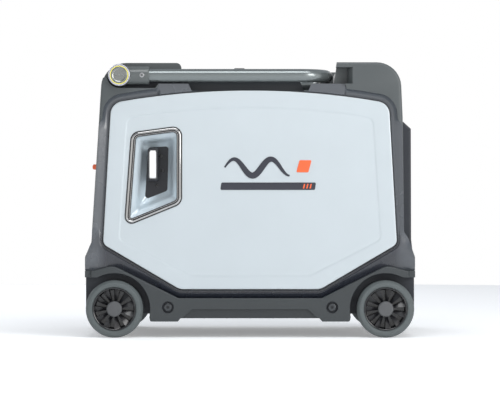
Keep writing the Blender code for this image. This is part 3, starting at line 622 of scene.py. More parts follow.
def border_section(x, z):
    """The section of the border beside a place on the panel's edge."""
    guard = ease(377, 399, z)
    rail = ease(176, 200, z) * (1 - guard)
    reach = 172 if x > 0 else 165
    pad = guard * (1 - ease(reach - 1.5, reach + 1.5, abs(x))) * ease(430, 431, z)
    shares = ((SILL, 1 - rail - guard), (RAIL, rail), (GUARD, guard - pad), (PAD, pad))
    stops = []
    for k in range(len(SILL)):
        stops.append([sum(share * kind[k][part] for kind, share in shares) for part in (0, 1)])
    return stops


def shoulder(x, z):
    """How far the bulge over the wheel stands forward of the sill."""
    return 11.0 * exp(-(((abs(x) - 299) / 19) ** 2) - ((z - 149) / 24) ** 2)


def dish():
    """The air in front of the border: everything nearer than its sloping surface."""
    edge = even(PANEL_OUTLINE, 3.0)
    rings = [[] for _ in SILL]
    for (x, z), step in zip(edge, mitres(edge)):
        for ring, (by, level) in zip(rings, border_section(x, z)):
            u, v = x + step.x * by, z + step.y * by
            if by > 9 and level < 190:
                level += shoulder(u, v)
            ring.append((u, -level, v))
    return skin("dish", rings, SATIN)


def pads():
    """The stepped top of the rail between the hub and the handle's bend."""
    steps = [(-172, PIVOT[1] - HUB_ROOM), (-166, PAD_TOP), (-112, PAD_TOP), (-106, RAIL_TOP - 5)]
    return steps + [(106, RAIL_TOP - 5), (112, PAD_TOP), (153, PAD_TOP)]


def channel_outline():
    """Room for the folded handle: round at its hub, stepped up at the two pads, open above."""
    hub = arc(*PIVOT, HUB_ROOM, 190, 270)
    return [(-310, PIVOT[1] - 4), *hub, *pads(), (160, HEIGHT + 20), (-310, HEIGHT + 20)]


def side_frames():
    left = [(-u, v, r) for u, v, r in reversed(TRAY_EDGE + CONTROL_EDGE)]
    outline = rounded(TRAY_EDGE + EXHAUST_EDGE + left, 10)
    body = prism("side_frame_starter_side", outline, -FRAME_FACE, -FRAME_BACK, SHELL, edges=(5.0, 0.6))
    cut(body, dish())
    cut(body, prism("window", grown(PANEL_OUTLINE, -8), -200, -140))
    cut(body, prism("channel", channel_outline(), -210, -CHANNEL_BACK))
    # Painted shadow of the handle tube: the strip under it takes the painted-shade plastic, cut 0.5 mm into
    # the channel's back.
    shade = [(PIVOT[0], PIVOT[1] - HUB_ROOM), *pads(), (153, 477), (PIVOT[0], 477)]
    cut(body, prism("tube_shade", shade, -210, -CHANNEL_BACK + 0.5, PAINTED_SHADE))
    cut(body, handle_rest())
    ledge_end = arc(-134.5, HEIGHT - 9, 9, 90, 12, 6)
    notch = [*ledge_end, (-119, 446), (152, 446), (161, 520), (-134.5, 520)]
    cut(body, prism("top_notch", notch, -CHANNEL_BACK - 1, -FRAME_BACK + 5))
    cut(body, disc("pivot_hole", "Y", PIVOT, 8.5, -170, -140))
    other = moved_copy(body, "side_frame_service_side", MIRROR_Y)
    for piece, node in ((body, "starter_side_frame"), (other, "service_side_frame")):
        stand_for(soften(piece, 0.6), node)


def handle_rest():
    """The recess behind the handle's bend, sloping back, with a soft corner into the block."""
    rings = []
    for k in range(9):
        t = k / 8
        far = 178 + 9 * ease(0, 1, t) ** 1.5
        level = CHANNEL_BACK + 1 + 29 * t
        ring = [(150, PAD_TOP), (far, PAD_TOP), (far, 491), (150, 491)]
        rings.append([(x, -level, z) for x, z in ring])
    return skin("handle_rest", rings)


# ---- side panels
def panel_skin(name):
    """A pale skin whose border rises a little outwards from a sunk, flat field."""
    back, face = 174.6, PANEL_FACE + 1.2
    rings = [(PANEL_OUTLINE, -1.0, back), (PANEL_OUTLINE, 0.0, back + 1)]
    rings += [(PANEL_OUTLINE, 0.0, face - 1.4)]
    rings += [(PANEL_OUTLINE, -0.4, face - 0.5), (PANEL_OUTLINE, -1.3, face - 0.05)]
    rings += [(PANEL_OUTLINE, -2.6, face)]
    rings += [(FIELD_OUTLINE, 13, PANEL_FACE + 0.45), (FIELD_OUTLINE, 4.0, PANEL_FACE - 0.1)]
    rings += [(FIELD_OUTLINE, 3.0, PANEL_FACE - 0.25), (FIELD_OUTLINE, 2.0, PANEL_FACE - 0.6)]
    rings += [(FIELD_OUTLINE, 1.0, FIELD_FACE + 0.22), (FIELD_OUTLINE, 0, FIELD_FACE + 0.05)]
    rings += [(FIELD_OUTLINE, -1.4, FIELD_FACE)]
    solid = []
    for outline, by, level in rings:
        solid.append([(u, -level, v) for u, v in grown(outline, by)])
    return skin(name, solid, SILVER)


def side_panels():
    plain = panel_skin("panel_skin_service_side")
    open_one = moved_copy(plain, "panel_skin_starter_side", Matrix.Identity(4))
    cut(open_one, prism("mouth", grown(POCKET_MOUTH, 0.3), -200, -160))
    plain.data.transform(MIRROR_Y)
    plain.data.flip_normals()
    stand_for(open_one, "starter_side_panel")
    stand_for(plain, "service_side_panel")
    service_hatch()


def service_hatch():
    """A flush hatch with a seam and two quarter-turn screws on the service side."""
    outline = rounded([(-150, 150, 10), (20, 150, 10), (20, 300, 10), (-150, 300, 10)])
    proud = FIELD_FACE + 0.15
    section = [(0, 180.2), (1.2, 180.2), (1.2, proud), (0, proud)]
    beside(hoop("hatch_seam", outline, section, INK), "service_side_panel")
    for k, z in enumerate((165, 285)):
        lock = disc(f"hatch_screw_{k + 1}", "Y", (4, z), 6, 180.2, FIELD_FACE + 1.6, BLACK, (0, 0.7))
        cut(lock, box("slot", (-1, 181.2, z - 1.1), (9, 184, z + 1.1)))
        beside(lock, "service_side_panel")


# ---- badge
def ribbon(points, width):
    """Closed outline of a band of varying width along a line of points."""
    upper, lower = [], []
    for i, point in enumerate(points):
        ahead = Vector(points[min(i + 1, len(points) - 1)]) - Vector(points[max(i - 1, 0)])
        across = Vector((-ahead.y, ahead.x)).normalized() * width(i / (len(points) - 1)) / 2
        upper.append(tuple(Vector(point) + across))
        lower.append(tuple(Vector(point) - across))
    return lower + upper[::-1]


def badge():
    """A sine wave between two bars, with an orange dash and a dark strip under it."""
    face = FIELD_FACE
    wave = []
    for k in range(61):
        t = k / 60
        wave.append((-46 + 118 * t, 309 + 15 * sin(2 * pi * 1.75 * t)))
    body = ribbon(wave, lambda t: 3.0 + 8.5 * sin(pi * t))
    beside(prism("badge_wave", body, -face - 0.9, -face + 0.3, INK, edges=(0.3, 0)), "badge_plate")
    dash = rounded([(84, 300, 2), (106, 300, 2), (112, 322, 2), (90, 322, 2)])
    beside(prism("badge_dash", dash, -face - 1.1, -face + 0.3, ORANGE, edges=(0.4, 0)), "badge_plate")
    strip = rounded([(-54, 268, 2.5), (118, 268, 2.5), (120, 281.5, 2.5), (-52, 281.5, 2.5)])
    stand_for(prism("badge_strip", strip, -face - 1.0, -face + 0.3, INK, edges=(0.4, 0)), "badge_plate")
    for k in range(3):
        x = 96 + 6 * k
        tick = [(x, 270.5), (x + 2.4, 270.5), (x + 4.4, 279), (x + 2, 279)]
        beside(prism(f"badge_tick_{k + 1}", tick, -face - 1.25, -face - 0.6, ORANGE), "badge_plate")


# ---- starter recess
POCKET_MOUTH = rounded([(-213.8, 370.4, 14), (-226.1, 204, 10), (-126.1, 244.8, 16), (-126.1, 382.2, 14)])
POCKET_BOTTOM = rounded([(-185.5, 345, 5), (-191.5, 252, 5), (-152, 267.5, 6), (-150, 347, 5)])


def starter_recess():
    f = FIELD_FACE
    section = [(1.2, f - 1), (1.2, f + 0.8), (0.6, f + 1.8), (-0.6, f + 2.6), (-2.0, f + 2.7)]
    section += [(-3.2, f + 2.0)]
    section += [(-3.8, f + 1.2), (-4.4, f + 1.5), (-5.4, f + 1.6), (-6.2, f + 0.9), (-7.0, f - 2.5)]
    section += [(-7.6, f - 5)]
    section += [(-6.6, f - 5), (-5.0, f - 1)]
    trim = hoop("recess_ring", POCKET_MOUTH, facing_front(section), CHROME)
    stand_for(trim, "recess_trim")
    for number, (outer, inner, proud) in enumerate(((2.9, 1.1, 0.8), (-2.7, -4.5, 2.4), (-6.0, -7.3, 1.3))):
        line = [(outer, f - 1), (outer, f + proud), (inner, f + proud), (inner, f - 1)]
        # Painted dark lines: gloss black hoops on the chrome trim stand in for the shade and dark
        # reflections in its grooves.
        shadow = hoop(f"recess_line_{number + 1}", POCKET_MOUTH, facing_front(line), GLOSS_BLACK)
        beside(shadow, "recess_trim")
    recess_walls(f)
    recess_floor()
    recoil_grip()


def recess_walls(f):
    """The sloping pocket, steeper in the middle, with a flange behind the panel."""
    rings = []
    stops = 14
    top, low = grown(POCKET_MOUTH, -7.2), POCKET_BOTTOM
    for k in range(stops + 1):
        t = k / stops
        curve = t + 0.10 * sin(2 * pi * t)
        level = (f - 4) + (POCKET_FLOOR - f + 4) * t
        ring = []
        for (a, b), (c, d) in zip(top, low):
            ring.append((a + (c - a) * curve, -level, b + (d - b) * curve))
        rings.append(ring)
    backs = ((POCKET_BOTTOM, 3, POCKET_FLOOR - WALL), (POCKET_MOUTH, -0.4, f - 6))
    for outline, by, level in backs + ((POCKET_MOUTH, -0.4, f - 1.2), (POCKET_MOUTH, -6, f - 1.2)):
        rings.append([(u, -level, v) for u, v in grown(outline, by)])
    stand_for(skin("recess_walls", rings, POCKET, wrap=True), "recess_pocket")


def recess_floor():
    """The dark plate at the pocket's bottom, with three screws and the rope's eyelet."""
    front = -POCKET_FLOOR
    plate = prism("recess_floor", grown(POCKET_BOTTOM, 1.5), front - 0.8, front + WALL, BLACK)
    cut(plate, disc("way", "Y", (PULLEY_X, ROPE_Z), 8.6, -160, -130))
    beside(plate, "recess_pocket")
    for k, (x, z) in enumerate(((-163, 330), (-160, 303), (-170, 276))):
        screw = disc(f"recess_screw_{k + 1}", "Y", (x, z), 3.2, front - 2.6, front, GLOSS_BLACK, (0.8, 0))
        beside(cut(screw, disc("dot", "Y", (x, z), 1.3, -160, front - 1.6, BLACK, sides=6)), "recess_pocket")

    bore = ROPE_RADIUS + 1
    corners = [(bore, front - 2, 0.8), (10, front - 2, 0.8), (10, front - 0.9, 0)]
    corners += [(8.3, front - 0.9, 0), (8.3, front + 8, 0), (bore, front + 8, 0)]
    stand_for(turned("rope_eyelet", "Y", (PULLEY_X, ROPE_Z), rounded(corners, 3), GLOSS_BLACK), "rope_guide")


def recoil_grip():
    """A black bar with a rounded back, a chrome edge and a pale insert in its face."""
    near, far = POCKET_FLOOR + 3, POCKET_FLOOR + 30
    half, tall = 9.5, 30.0

    def bar(half_width, half_height, radius):
        corners = [(-half_width, -half_height), (half_width, -half_height), (half_width, half_height)]
        corners.append((-half_width, half_height))
        return rounded([(PULLEY_X + u, ROPE_Z + v, radius) for u, v in corners], 5)

    body = prism("grip_body", bar(half, tall, 4), -far, -near, BLACK, edges=(3, 3.5))
    cut(body, prism("insert_seat", bar(6.8, 25.4, 2), -far - 2, -far + 1.5, BLACK))
    cut(body, disc("rope_seat", "Y", (PULLEY_X, ROPE_Z), ROPE_RADIUS + 0.6, -near - 6, -near + 2))
    stand_for(body, "recoil_grip")
    section = [(0, -far + 1.4), (0.9, -far + 1.4), (0.9, -far - 0.4), (0.3, -far - 0.8), (0, -far - 0.4)]
    beside(hoop("grip_edge", bar(5.8, 24.4, 2), section, CHROME), "recoil_grip")
    insert = prism("grip_insert", bar(5.7, 24.3, 2), -far - 0.5, -far + 1.3, WHITE, edges=(0.8, 0))
    beside(insert, "recoil_grip")

    stops = 80
    inner, outer = 4.0, near + 5.0
    path = [(PULLEY_X, -(inner + (outer - inner) * k / stops), ROPE_Z) for k in range(stops + 1)]
    rope = tube("starter_rope", path, ROPE_RADIUS, ROPE, 3)
    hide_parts("recoil_rope")
    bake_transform(rope)


# ---- end covers
COVER_FACE = [(-287.5, 182), (-276.5, 388)]  # x and z of the control end's sloping face


def cover_x(z):
    (x0, z0), (x1, z1) = COVER_FACE
    return x0 + (x1 - x0) * (z - z0) / (z1 - z0)


def rectangle(low, high, by=0.0, radius=6.0):
    """Rounded rectangle between (y, z) corners, grown by a distance."""
    (y0, z0), (y1, z1) = low, high
    corners = [(y0 - by, z0 - by), (y1 + by, z0 - by), (y1 + by, z1 + by), (y0 - by, z1 + by)]
    return rounded([(y, z, radius) for y, z in corners], 5)


def control_end_cover():
    path = [(-296.5, TRAY_TOP + 1), (-299, 143), COVER_FACE[0], COVER_FACE[1], (-273, 397), (-270, 450)]
    path += arc(-228, 450, 42, 180, 90)[1:] + [(-128, 492), (-128, 448)]
    cover = prism("cover_control_end", sheet_outline(path, WALL), -COVER_SIDE, COVER_SIDE, SHELL)
    window = rectangle(WINDOW_LOW, WINDOW_HIGH, radius=5)
    cut(cover, prism("window", window, -310, -255, None, "X"))
    for k in range(5):
        z = 136 + 9 * k
        slot = rectangle((-96, z), (96, z + 4), radius=1.9)
        cut(cover, prism("intake", slot, -310, -270, PAINTED_SHADE, "X"))
    for k in range(6):
        z = 408 + 6.5 * k
        cut(cover, box("groove", (-300, -112, z), (-269.8 - 0.2 * k, 112, z + 2.2), PAINTED_SHADE))
    stand_for(soften(cover, 0.7), "control_end_cover")

    lining = rectangle(WINDOW_LOW, WINDOW_HIGH, -2.5, 6)
    rings = [[(x, y, z) for y, z in lining] for x in (PLATE_X - 0.3 + 2, PLATE_X - 0.3)]
    for by, proud in ((0, 1.4), (2.5, 2.2), (5.5, 1.8), (7, 0), (7, -2)):
        frame_edge = rectangle(WINDOW_LOW, WINDOW_HIGH, by, 6)
        rings.append([(cover_x(z) - proud, y, z) for y, z in frame_edge])
    beside(skin("control_bezel", rings, BLACK, wrap=True), "control_end_cover")


def exhaust_end_cover():
    path = [(160, 442), (163, 492)] + arc(228, 450, 42, 90, 0)
    path += [(277, 396), (294.5, 380), (295, 178), (299, 143), (296.5, TRAY_TOP + 1)]
    cover = prism("cover_exhaust_end", sheet_outline(path, WALL), -COVER_SIDE, COVER_SIDE, COVER_PAINTED_SHADE)
    cheek = [(262, 130), (297, 143), (293, 178), (292.5, 379), (276.5, 394), (262, 430)]
    for side in SIDES.values():
        low, high = span(side, COVER_SIDE - WALL, COVER_SIDE - 0.2)
        fuse(cover, prism("cheek", cheek, low, high, PAINTED_SHADE))
    pan = rectangle((-124, 190), (102, 362), radius=10)
    sunk = [[(293.4, y, z) for y, z in grown(pan, -1.5)], [(297, y, z) for y, z in grown(pan, 1.5)]]
    cut(cover, skin("sunk_field", sunk))
    for row in range(8):
        z = 200 + row * 20
        cut(cover, prism("louvre", rectangle((-118, z), (0, z + 9), radius=4), 280, 310, PAINTED_SHADE, "X"))
    cut(cover, disc("outlet_way", "X", OUTLET, 27, 280, 310, PAINTED_SHADE, sides=72))
    stand_for(soften(cover, 0.6), "exhaust_end_cover")
    for row in range(8):
        z = 200 + row * 20
        slat = [(291.0, z + 8.0), (284.5, z - 1.0), (285.5, z - 1.8), (292.2, z + 7.2)]
        blade = [(x, level) for x, level in slat]
        beside(prism(f"louvre_slat_{row + 1}", blade[::-1], -118.5, 0.5, COVER_PAINTED_SHADE), "exhaust_end_cover")
    circle = [around(OUTLET, 28, pi * k / 36) for k in range(72)]
    section = [(-1.4, 288), (3.6, 288), (3.6, 295.2), (2.4, 296.6), (0, 296.6), (-1.4, 295.4)]
    beside(hoop("outlet_guard", circle, section, HEAT_STEEL, "X"), "exhaust_end_cover")
    for k in range(4):
        centre = around(OUTLET, 38, radians(45 + 90 * k))
        head = disc(f"outlet_screw_{k + 1}", "X", centre, 4.2, 292.5, 295.8, STEEL, (0, 1.2))
        beside(cut(head, disc("hex", "X", centre, 2, 294.2, 299, BLACK, sides=6)), "exhaust_end_cover")


def top_cover():
    """The deck over the tank, with a shallow tray moulded round the fuel cap and grip ribs."""
    skirt, well, slope = 436, 440.5, 86
    outer = [(-124.5, skirt, 0), (156.5, skirt, 0), (156.5, well, 0), (slope + 18, well, 10)]
    outer += [(slope, DECK_TOP, 10), (-124.5, DECK_TOP, 5)]
    cover = prism("deck", rounded(outer), -COVER_SIDE, COVER_SIDE, DECK_PAINTED_SHADE, edges=(2, 2))
    under = [(-121, 430), (153, 430), (153, well - WALL), (slope + 15, well - WALL)]
    under += [(slope - 3, DECK_TOP - WALL), (-121, DECK_TOP - WALL)]
    cut(cover, prism("room", under, -COVER_SIDE + WALL, COVER_SIDE - WALL))
    cut(cover, disc("neck_way", "Z", CAP, 27, 460, 490))
    for side in (-1, 1):
        pad = rectangle((-112, side * 92 - 44), (66, side * 92 + 44), radius=12)
        cut(cover, prism("sunk_pad", pad, DECK_TOP - 1.4, DECK_TOP + 4, None, "Z"))
    dish_edge = disc("cap_dish", "Z", CAP, 44, DECK_TOP - 0.9, DECK_TOP + 4)
    cut(cover, dish_edge)
    stand_for(soften(cover, 0.8), "top_cover")
    for side in (-1, 1):
        for k in range(11):
            x = -104 + 16 * k
            low = (x - 2.2, side * 92 - 38, DECK_TOP - 2.4)
            high = (x + 2.2, side * 92 + 38, DECK_TOP - 0.2)
            beside(box(f"deck_rib_{'a' if side < 0 else 'b'}{k + 1}", low, high, DECK_PAINTED_SHADE, 0.9), "top_cover")


# ---- fuel cap
def fuel_cap():
    brim, lip, inner = 31.0, DECK_TOP + 1.5, 26.0
    corners = [(0, 494, 0), (brim - 5, 494, 3), (brim, 491, 2.5), (brim, lip, 1), (inner, lip, 0)]
    corners += [(inner, 486, 0)]
    cap = turned("cap_body", "Z", CAP, rounded(corners + [(0, 486, 0)], 4), BLACK)
    for k in range(18):
        centre = around(CAP, brim + 2.2, 2 * pi * k / 18)
        cut(cap, disc("flute", "Z", centre, 4.0, lip - 5, 500, sides=16))
    for by in (17.5, 12.5):
        profile = [(by, 493), (by + 1.4, 493), (by + 1.4, 496), (by, 496)]
        cut(cap, turned("groove", "Z", CAP, profile, BLACK, 48))
    stand_for(cap, "fuel_cap")
    neck = turned("neck_collar", "Z", CAP, [(22.3, 479), (25, 479), (25, 483.9), (22.3, 483.9)], STEEL)
    beside(neck, "fuel_tank")
    knob = box("vent_lever", (CAP[0] - 10, -3.4, 494.3), (CAP[0] + 10, 3.4, 499.4), BLACK, 1.6)
    fuse(knob, disc("vent_base", "Z", CAP, 7.5, 494.3, 496.6, None, (0, 0.8)))
    stand_for(knob, "vent_knob")


# ---- control panel: places are (y, z)
AC_OUTLETS = ((30.0, 322.0), (88.0, 322.0))
DC_OUTLET = (30.0, 248.0)
KNOB_CENTRE = (-82.0, 311.0)
BREAKER_CENTRE = (-82.0, 240.0)
ROCKER_CENTRE = (-24.0, 248.0)
LAMPS = ((-36.0, 360.0), (-24.0, 360.0), (-12.0, 360.0))


def ac_outlet(number, centre):
    """A round socket: chamfered flange, deep cup and a face with pin holes."""
    front, depth = PLATE_X - 3, 17.0
    corners = [(19.5, front, 1), (28.5, front, 1.6), (28.5, PLATE_X - 0.4, 0), (24.5, PLATE_X - 0.4, 0)]
    corners += [(24.5, front + 25, 2), (0, front + 25, 0), (0, front + depth, 0)]
    corners += [(19.0, front + depth, 0.8)]
    socket = turned(f"socket_{number}", "X", centre, rounded(corners, 4), BLACK)
    for dy in (-9.5, 9.5):
        pin = (centre[0] + dy, centre[1])
        hole = disc("pin_hole", "X", pin, 2.5, front + depth - 3, front + depth + 7, GLOSS_BLACK, sides=20)
        cut(socket, hole)
    for dz in (-19.6, 19.6):
        y, z = centre[0], centre[1] + dz
        low, high = (front + 4, y - 3, z - 1.6), (front + depth + 1, y + 3, z + 1.6)
        fuse(socket, box("earth_clip", low, high, STEEL, 0.3))
    stand_for(socket, f"ac_outlet_{number}")
    for k, angle in enumerate((45, 225)):
        place = around(centre, 24, radians(angle))
        name = f"socket_{number}_screw_{k + 1}"
        head = disc(name, "X", place, 2.0, front - 0.7, front + 0.5, STEEL, (0.5, 0), 20)
        beside(head, f"ac_outlet_{number}")


def panel_stud(name, place, radius, proud, material, edge, sides=24):
    """A small round piece standing a little proud of the control panel."""
    stud = disc(name, "X", place, radius, PLATE_X - proud, PLATE_X + 0.2, material, (edge, 0), sides)
    beside(stud, "control_panel")


def control_panel():
    ac_outlet(1, AC_OUTLETS[0])
    ac_outlet(2, AC_OUTLETS[1])
    front = PLATE_X - 3
    corners = [(10.5, front, 0.8), (17.5, front, 1.2), (17.5, PLATE_X - 0.4, 0)]
    corners += [(13.5, PLATE_X - 0.4, 0)]
    corners += [(13.5, front + 23, 1), (0, front + 23, 0), (0, front + 15, 0), (10.2, front + 15, 0)]
    stand_for(turned("dc_socket", "X", DC_OUTLET, rounded(corners, 4), BLACK, 48), "dc_outlet")
    beside(disc("dc_pin", "X", DC_OUTLET, 3.4, front + 7, front + 16, STEEL, (0.8, 0)), "dc_outlet")

    y, z = KNOB_CENTRE
    face = PLATE_X - 11
    corners = [(0, face, 0), (18, face, 2), (20.6, face + 3, 1), (22.6, PLATE_X - 1.2, 1)]
    corners += [(0, PLATE_X - 1.2, 0)]
    knob = turned("knob_dial", "X", KNOB_CENTRE, rounded(corners, 3), ORANGE)
    fuse(knob, box("knob_ridge", (face - 9, y - 18, z - 5), (face + 4, y + 18, z + 5), None, 3.4))
    stand_for(knob, "engine_knob")
    profile = [(24, PLATE_X - 1.4), (26, PLATE_X - 1.4), (26.6, PLATE_X + 0.2), (23.6, PLATE_X + 0.2)]
    ring = turned("knob_ring", "X", KNOB_CENTRE, profile, STEEL)
    beside(ring, "control_panel")
    for k in range(3):
        place = around(KNOB_CENTRE, 31, radians(90 + 60 * k))
        panel_stud(f"knob_mark_{k + 1}", place, 1.6, 0.5, WHITE, 0, 20)

    button = disc("breaker_cap", "X", BREAKER_CENTRE, 8, PLATE_X - 5, PLATE_X + 8, ORANGE, (1.6, 0))
    stand_for(button, "breaker_button")
    collar = [(8.6, PLATE_X - 1.8), (12, PLATE_X - 1.8), (13, PLATE_X + 0.2), (8.6, PLATE_X + 0.2)]
    beside(turned("breaker_collar", "X", BREAKER_CENTRE, collar, STEEL, 40), "control_panel")

    y, z = ROCKER_CENTRE
    rim = rectangle((y - 9.6, z - 15.8), (y + 9.6, z + 15.8), radius=2)
    section = [(0, PLATE_X - 1.6), (2.6, PLATE_X - 1.6), (3.4, PLATE_X + 0.2), (0, PLATE_X + 0.2)]
    beside(hoop("rocker_rim", rim, section, GLOSS_BLACK, "X"), "control_panel")

    low = (PLATE_X - 2.4, -44, 300)
    stand_for(box("display_window", low, (PLATE_X - 0.2, -4, 345), GLASS, 1.0), "display")
    for row in range(3):
        low, high = (PLATE_X - 2.6, -39, 309 + 12 * row), (PLATE_X - 2.2, -15 + 5 * row, 313 + 12 * row)
        beside(box(f"display_bar_{row + 1}", low, high, LAMP), "display")
    for k, place in enumerate(LAMPS):
        panel_stud(f"lamp_{k + 1}", place, 2.4, 1.8, LAMP if k else ORANGE, 1.2)
    for y in (-122, 122):
        for z in (202, 380):
            name = f"panel_screw_{'a' if y < 0 else 'b'}{'1' if z < 300 else '2'}"
            panel_stud(name, (y, z), 2.8, 1.4, STEEL, 0.8)


# ---- wheels
VANES = 11


def wheel_pieces():
    """Tyre, rim and hub cap of the starter side's wheel, about the origin's axle."""
    out, back = -WHEEL_OUT, -WHEEL_IN
    corners = [(38.3, back, 0), (47, back, 2), (WHEEL_RADIUS, back - 5, 4), (WHEEL_RADIUS, out + 7, 5)]
    corners += [(47.5, out + 0.4, 2.5), (44.0, out, 1.5), (40.6, out + 0.2, 1)]
    corners += [(39.8, out + 2.4, 0.6), (38.3, out + 3.2, 0)]
    tyre = turned("tyre", "Y", (0, 0), rounded(corners, 4)[::-1], RUBBER, 128)

    web = out + 20
    corners = [(6.4, back, 0), (12.6, back, 0), (12.6, web + 3, 1), (35.2, web + 3, 1)]
    corners += [(35.2, back, 0), (38.2, back, 0)]
    corners += [(38.2, out + 3.4, 0), (39.4, out + 2.2, 0.5), (38.2, out + 1.6, 0.8)]
    corners += [(36.4, out + 2.6, 1), (35.4, web, 2)]
    corners += [(13.6, web, 1.5), (13.2, out + 4, 0), (6.4, out + 4, 0)]
    rim = turned("rim", "Y", (0, 0), rounded(corners, 3)[::-1], GLOSS_BLACK, 96)
    vanes = join([vane(2 * pi * k / VANES) for k in range(VANES)])
    fuse(rim, vanes)
    corners = [(0, out, 0), (12.4, out + 0.4, 1.6), (14.2, out + 2.6, 0.8), (14.2, out + 5.5, 0)]
    corners += [(0, out + 5.5, 0)]
    cap = turned("hub_cap", "Y", (0, 0), rounded(corners, 4)[::-1], HUB_CAP)
    return tyre, rim, cap


def vane(angle):
    """One fan-shaped blade, leaning round the axle, from the hub to the rim."""
    rings = []
    turn = Matrix.Rotation(angle, 2)
    for k in range(6):
        radius = 12.4 + (36.6 - 12.4) * k / 5
        half = 1.6 + (radius - 12.4) * 0.165
        front = -WHEEL_OUT + 4.2 + 1.4 * k / 5
        ring = []
        for across, level in ((-half, front), (half, front + 5.5), (half, front + 8), (-half, front + 2.5)):
            u, v = turn @ Vector((radius, across))
            ring.append((u, level, v))
        rings.append(ring)
    return skin("vane", rings, VANE)


def join(pieces):
    """One object from several separate closed pieces."""
    bm = bmesh.new()
    material = pieces[0].data.materials[0]
    for piece in pieces:
        bm.from_mesh(piece.data)
        bpy.data.objects.remove(piece)
    return finished("joined", bm, material)


def wheels():
    patterns = wheel_pieces()
    for end_name, end in ENDS.items():
        for side_name, side in SIDES.items():
            tag = f"{end_name}_{side_name}"
            place = Matrix.Translation((end * WHEEL_X * MM, 0, WHEEL_RADIUS * MM))
            if side > 0:
                place = place @ MIRROR_Y
            place = place @ Matrix.Rotation(radians(17 * end), 4, "Y")
            tyre, rim, cap = [moved_copy(p, f"{p.name}_{'x' if end > 0 else 'c'}", place) for p in patterns]
            tyre.name, rim.name, cap.name = f"wheel_tyre_{tag}", f"wheel_rim_{tag}", f"wheel_cap_{tag}"
            stand_for(tyre, f"tyre_{tag}")
            stand_for(rim, f"rim_{tag}")
            beside(cap, f"rim_{tag}")
    for pattern in patterns:
        bpy.data.objects.remove(pattern)


# ---- tow handle
def tow_handle():
    bend = arc(GRIP_X - BEND_RADIUS, -(TUBE_Y - BEND_RADIUS), BEND_RADIUS, -90, 0, 24)
    half = [(TUBE_START, -TUBE_Y)] + bend
    path = [(x, y, PIVOT[1]) for x, y in half] + [(x, -y, PIVOT[1]) for x, y in reversed(half)]
    stand_for(tube("handle_tube", path, TUBE_RADIUS, TUBE_PAINT, 14), "handle_bow")
    hub_pieces = hub_shapes()
    for side_name, side in SIDES.items():
        turn = MIRROR_Y if side > 0 else Matrix.Identity(4)
        copies = [moved_copy(piece, f"{piece.name}_{side_name}", turn) for piece in hub_pieces]
        hub, ring, enamel, screw, button = copies
        stand_for(hub, f"handle_hub_{side_name}")
        for piece in (ring, enamel, screw):
            beside(piece, f"handle_hub_{side_name}")
        stand_for(button, f"lock_button_{side_name}")
    for piece in hub_pieces:
        bpy.data.objects.remove(piece)


def hub_shapes():
    """The starter side's hub with its socket, two rings, cross screw and lock button."""
    outer = 197.5
    corners = [(0, -148, 0), (8, -148, 0), (8, -162, 0), (HUB_RADIUS, -162, 1)]
    corners += [(HUB_RADIUS, -outer, 1.6), (0, -outer, 0)]
    hub = turned("hub", "Y", PIVOT, rounded(corners, 4), SOCKET_PLASTIC)
    leg = (-TUBE_Y, PIVOT[1])
    socket = disc("socket", "X", leg, 16.2, PIVOT[0] + 12, SOCKET_END, SOCKET_PLASTIC, (0, 1.6), 64)
    fuse(hub, socket)
    cut(hub, disc("bore", "X", leg, TUBE_RADIUS + 0.5, TUBE_START - 1, SOCKET_END + 10, BLACK, sides=64))
    cut(hub, disc("button_room", "Y", PIVOT, LOCK_RADIUS + 0.6, -210, -186, BLACK, sides=64))

    corners = [(17.0, -outer + 1, 0), (17.0, -outer - 1.8, 0.6), (19.4, -outer - 1.4, 1.0)]
    corners += [(19.7, -outer + 1, 0)]
    ring = turned("hub_ring", "Y", PIVOT, rounded(corners, 4), RING_GREY)
    corners = [(15.2, -outer + 3, 0), (15.2, -outer - 1.7, 0.4), (16.9, -outer - 1.7, 0.4)]
    corners += [(16.9, -outer + 3, 0)]
    enamel = turned("hub_enamel", "Y", PIVOT, rounded(corners, 3), YELLOW)
    place = (-196.0, PIVOT[1])
    face = TUBE_Y + 16.2
    screw = disc("hub_screw", "Y", place, 4.4, -face - 0.3, -face + 4, STEEL, (1.0, 0), 32)
    cut(screw, disc("hex", "Y", place, 2.4, -face - 2, -face + 2.5, BLACK, sides=6))

    corners = [(0, -199.0, 0), (10.5, -198.6, 1.5), (12.5, -199.8, 0.8), (14.9, -199.4, 0.8)]
    corners += [(14.9, -190, 0), (0, -190, 0)]
    button = turned("lock_cap", "Y", PIVOT, rounded(corners, 4), BUTTON)
    x, z = PIVOT
    bar = [(x - 8, z - 1.6, 1), (x + 9.5, z - 0.8, 0.5), (x + 9.5, z + 0.8, 0.5), (x - 8, z + 1.6, 1)]
    fuse(button, prism("grip_bar", rounded(bar, 3), -199.9, -195, None, edges=(0.5, 0)))
    return hub, ring, enamel, screw, button


# ---- CAD nodes that keep their own shape
KEPT = (
    (TANK, ("fuel_tank",)),
    (BLACK, ("control_panel", "spark_plug_cap", "air_cleaner", "recoil_pulley", "cowling")),
    (GLOSS_BLACK, ("eco_switch",)),
    (ALLOY, ("crankcase", "cylinder", "valve_cover", "carburettor", "flywheel_rotor", "inverter_module")),
    (ORANGE, ("oil_dipstick",)),
    (STEEL, ("engine_cradle", "crankshaft", "axle_control_end", "axle_exhaust_end")),
    (HEAT_STEEL, ("muffler", "exhaust_outlet")),
    (COPPER, ("stator",)),
)


def kept_nodes():
    for material, names in KEPT:
        for name in names:
            node = frame["nodes"][name]
            node.data.materials.clear()
            node.data.materials.append(material)
            soften(node, 0.5)


# ---- stage, camera and light
def floor():
    bm = bmesh.new()
    bmesh.ops.create_circle(bm, cap_ends=True, segments=96, radius=2.5)
    paper = look("floor_paper", (0.90, 0.91, 0.92), 0.85, mottle=0.01, grain=(300.0, 0.02), glow=0.28)
    finished("floor", bm, paper)


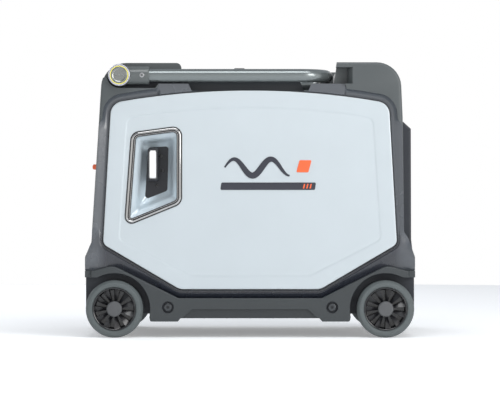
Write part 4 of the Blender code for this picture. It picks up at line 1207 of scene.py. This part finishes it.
def camera():
    """Level with the middle of the machine and square to its starter side."""
    data = bpy.data.cameras.new("camera")
    data.sensor_width = 36.0
    field_width, distance = 0.9075, 4.2
    data.lens = data.sensor_width * distance / field_width
    made = placed("camera", data)
    made.location = (0, -(FRAME_FACE * MM + distance), 0.2497)
    made.rotation_euler = (radians(90), 0, 0)
    bpy.context.scene.camera = made


def softbox(name, place, target, size, power, colour=(1, 1, 1)):
    data = bpy.data.lights.new(name, "AREA")
    data.shape = "RECTANGLE"
    data.size, data.size_y = size
    data.energy = power
    data.color = colour
    made = placed(name, data)
    made.location = place
    made.rotation_euler = (Vector(target) - Vector(place)).to_track_quat("-Z", "Y").to_euler()


def world():
    """A white horizon under a softer sky."""
    made = bpy.data.worlds.new("studio")
    made.use_nodes = True
    tree = made.node_tree
    place = add(tree, "TexCoord", {}, "Generated")
    height = add(tree, "SeparateXYZ", {"Vector": place}, "Z")
    ramp = tree.nodes.new("ShaderNodeValToRGB")
    horizon, sky = ramp.color_ramp.elements
    horizon.position, sky.position = 0.20, 0.95
    horizon.color, sky.color = (1.0, 1.0, 1.0, 1.0), (0.26, 0.28, 0.31, 1.0)
    ramp.color_ramp.elements.new(0.42).color = (0.46, 0.48, 0.51, 1.0)
    feed(tree, ramp, {"Fac": height})
    feed(tree, tree.nodes["Background"], {"Color": ramp.outputs["Color"], "Strength": 1.0})
    bpy.context.scene.world = made


def light():
    world()
    softbox("key", (1.75, -2.0, 1.05), (0, 0, 0.35), (0.9, 1.4), 28, (1.0, 0.99, 0.98))
    softbox("top", (0.2, -1.1, 2.2), (0, 0, 0.3), (1.8, 0.8), 24, (0.98, 0.99, 1.0))
    softbox("back", (-1.2, 2.2, 1.2), (0, 0, 0.3), (1.4, 1.2), 16, (0.97, 0.98, 1.0))
    bpy.context.scene.view_settings.view_transform = "Standard"


# ---- making everything
floor()
camera()
light()
base_tray()
side_frames()
side_panels()
badge()
starter_recess()
control_end_cover()
exhaust_end_cover()
top_cover()
fuel_cap()
control_panel()
wheels()
tow_handle()
kept_nodes()
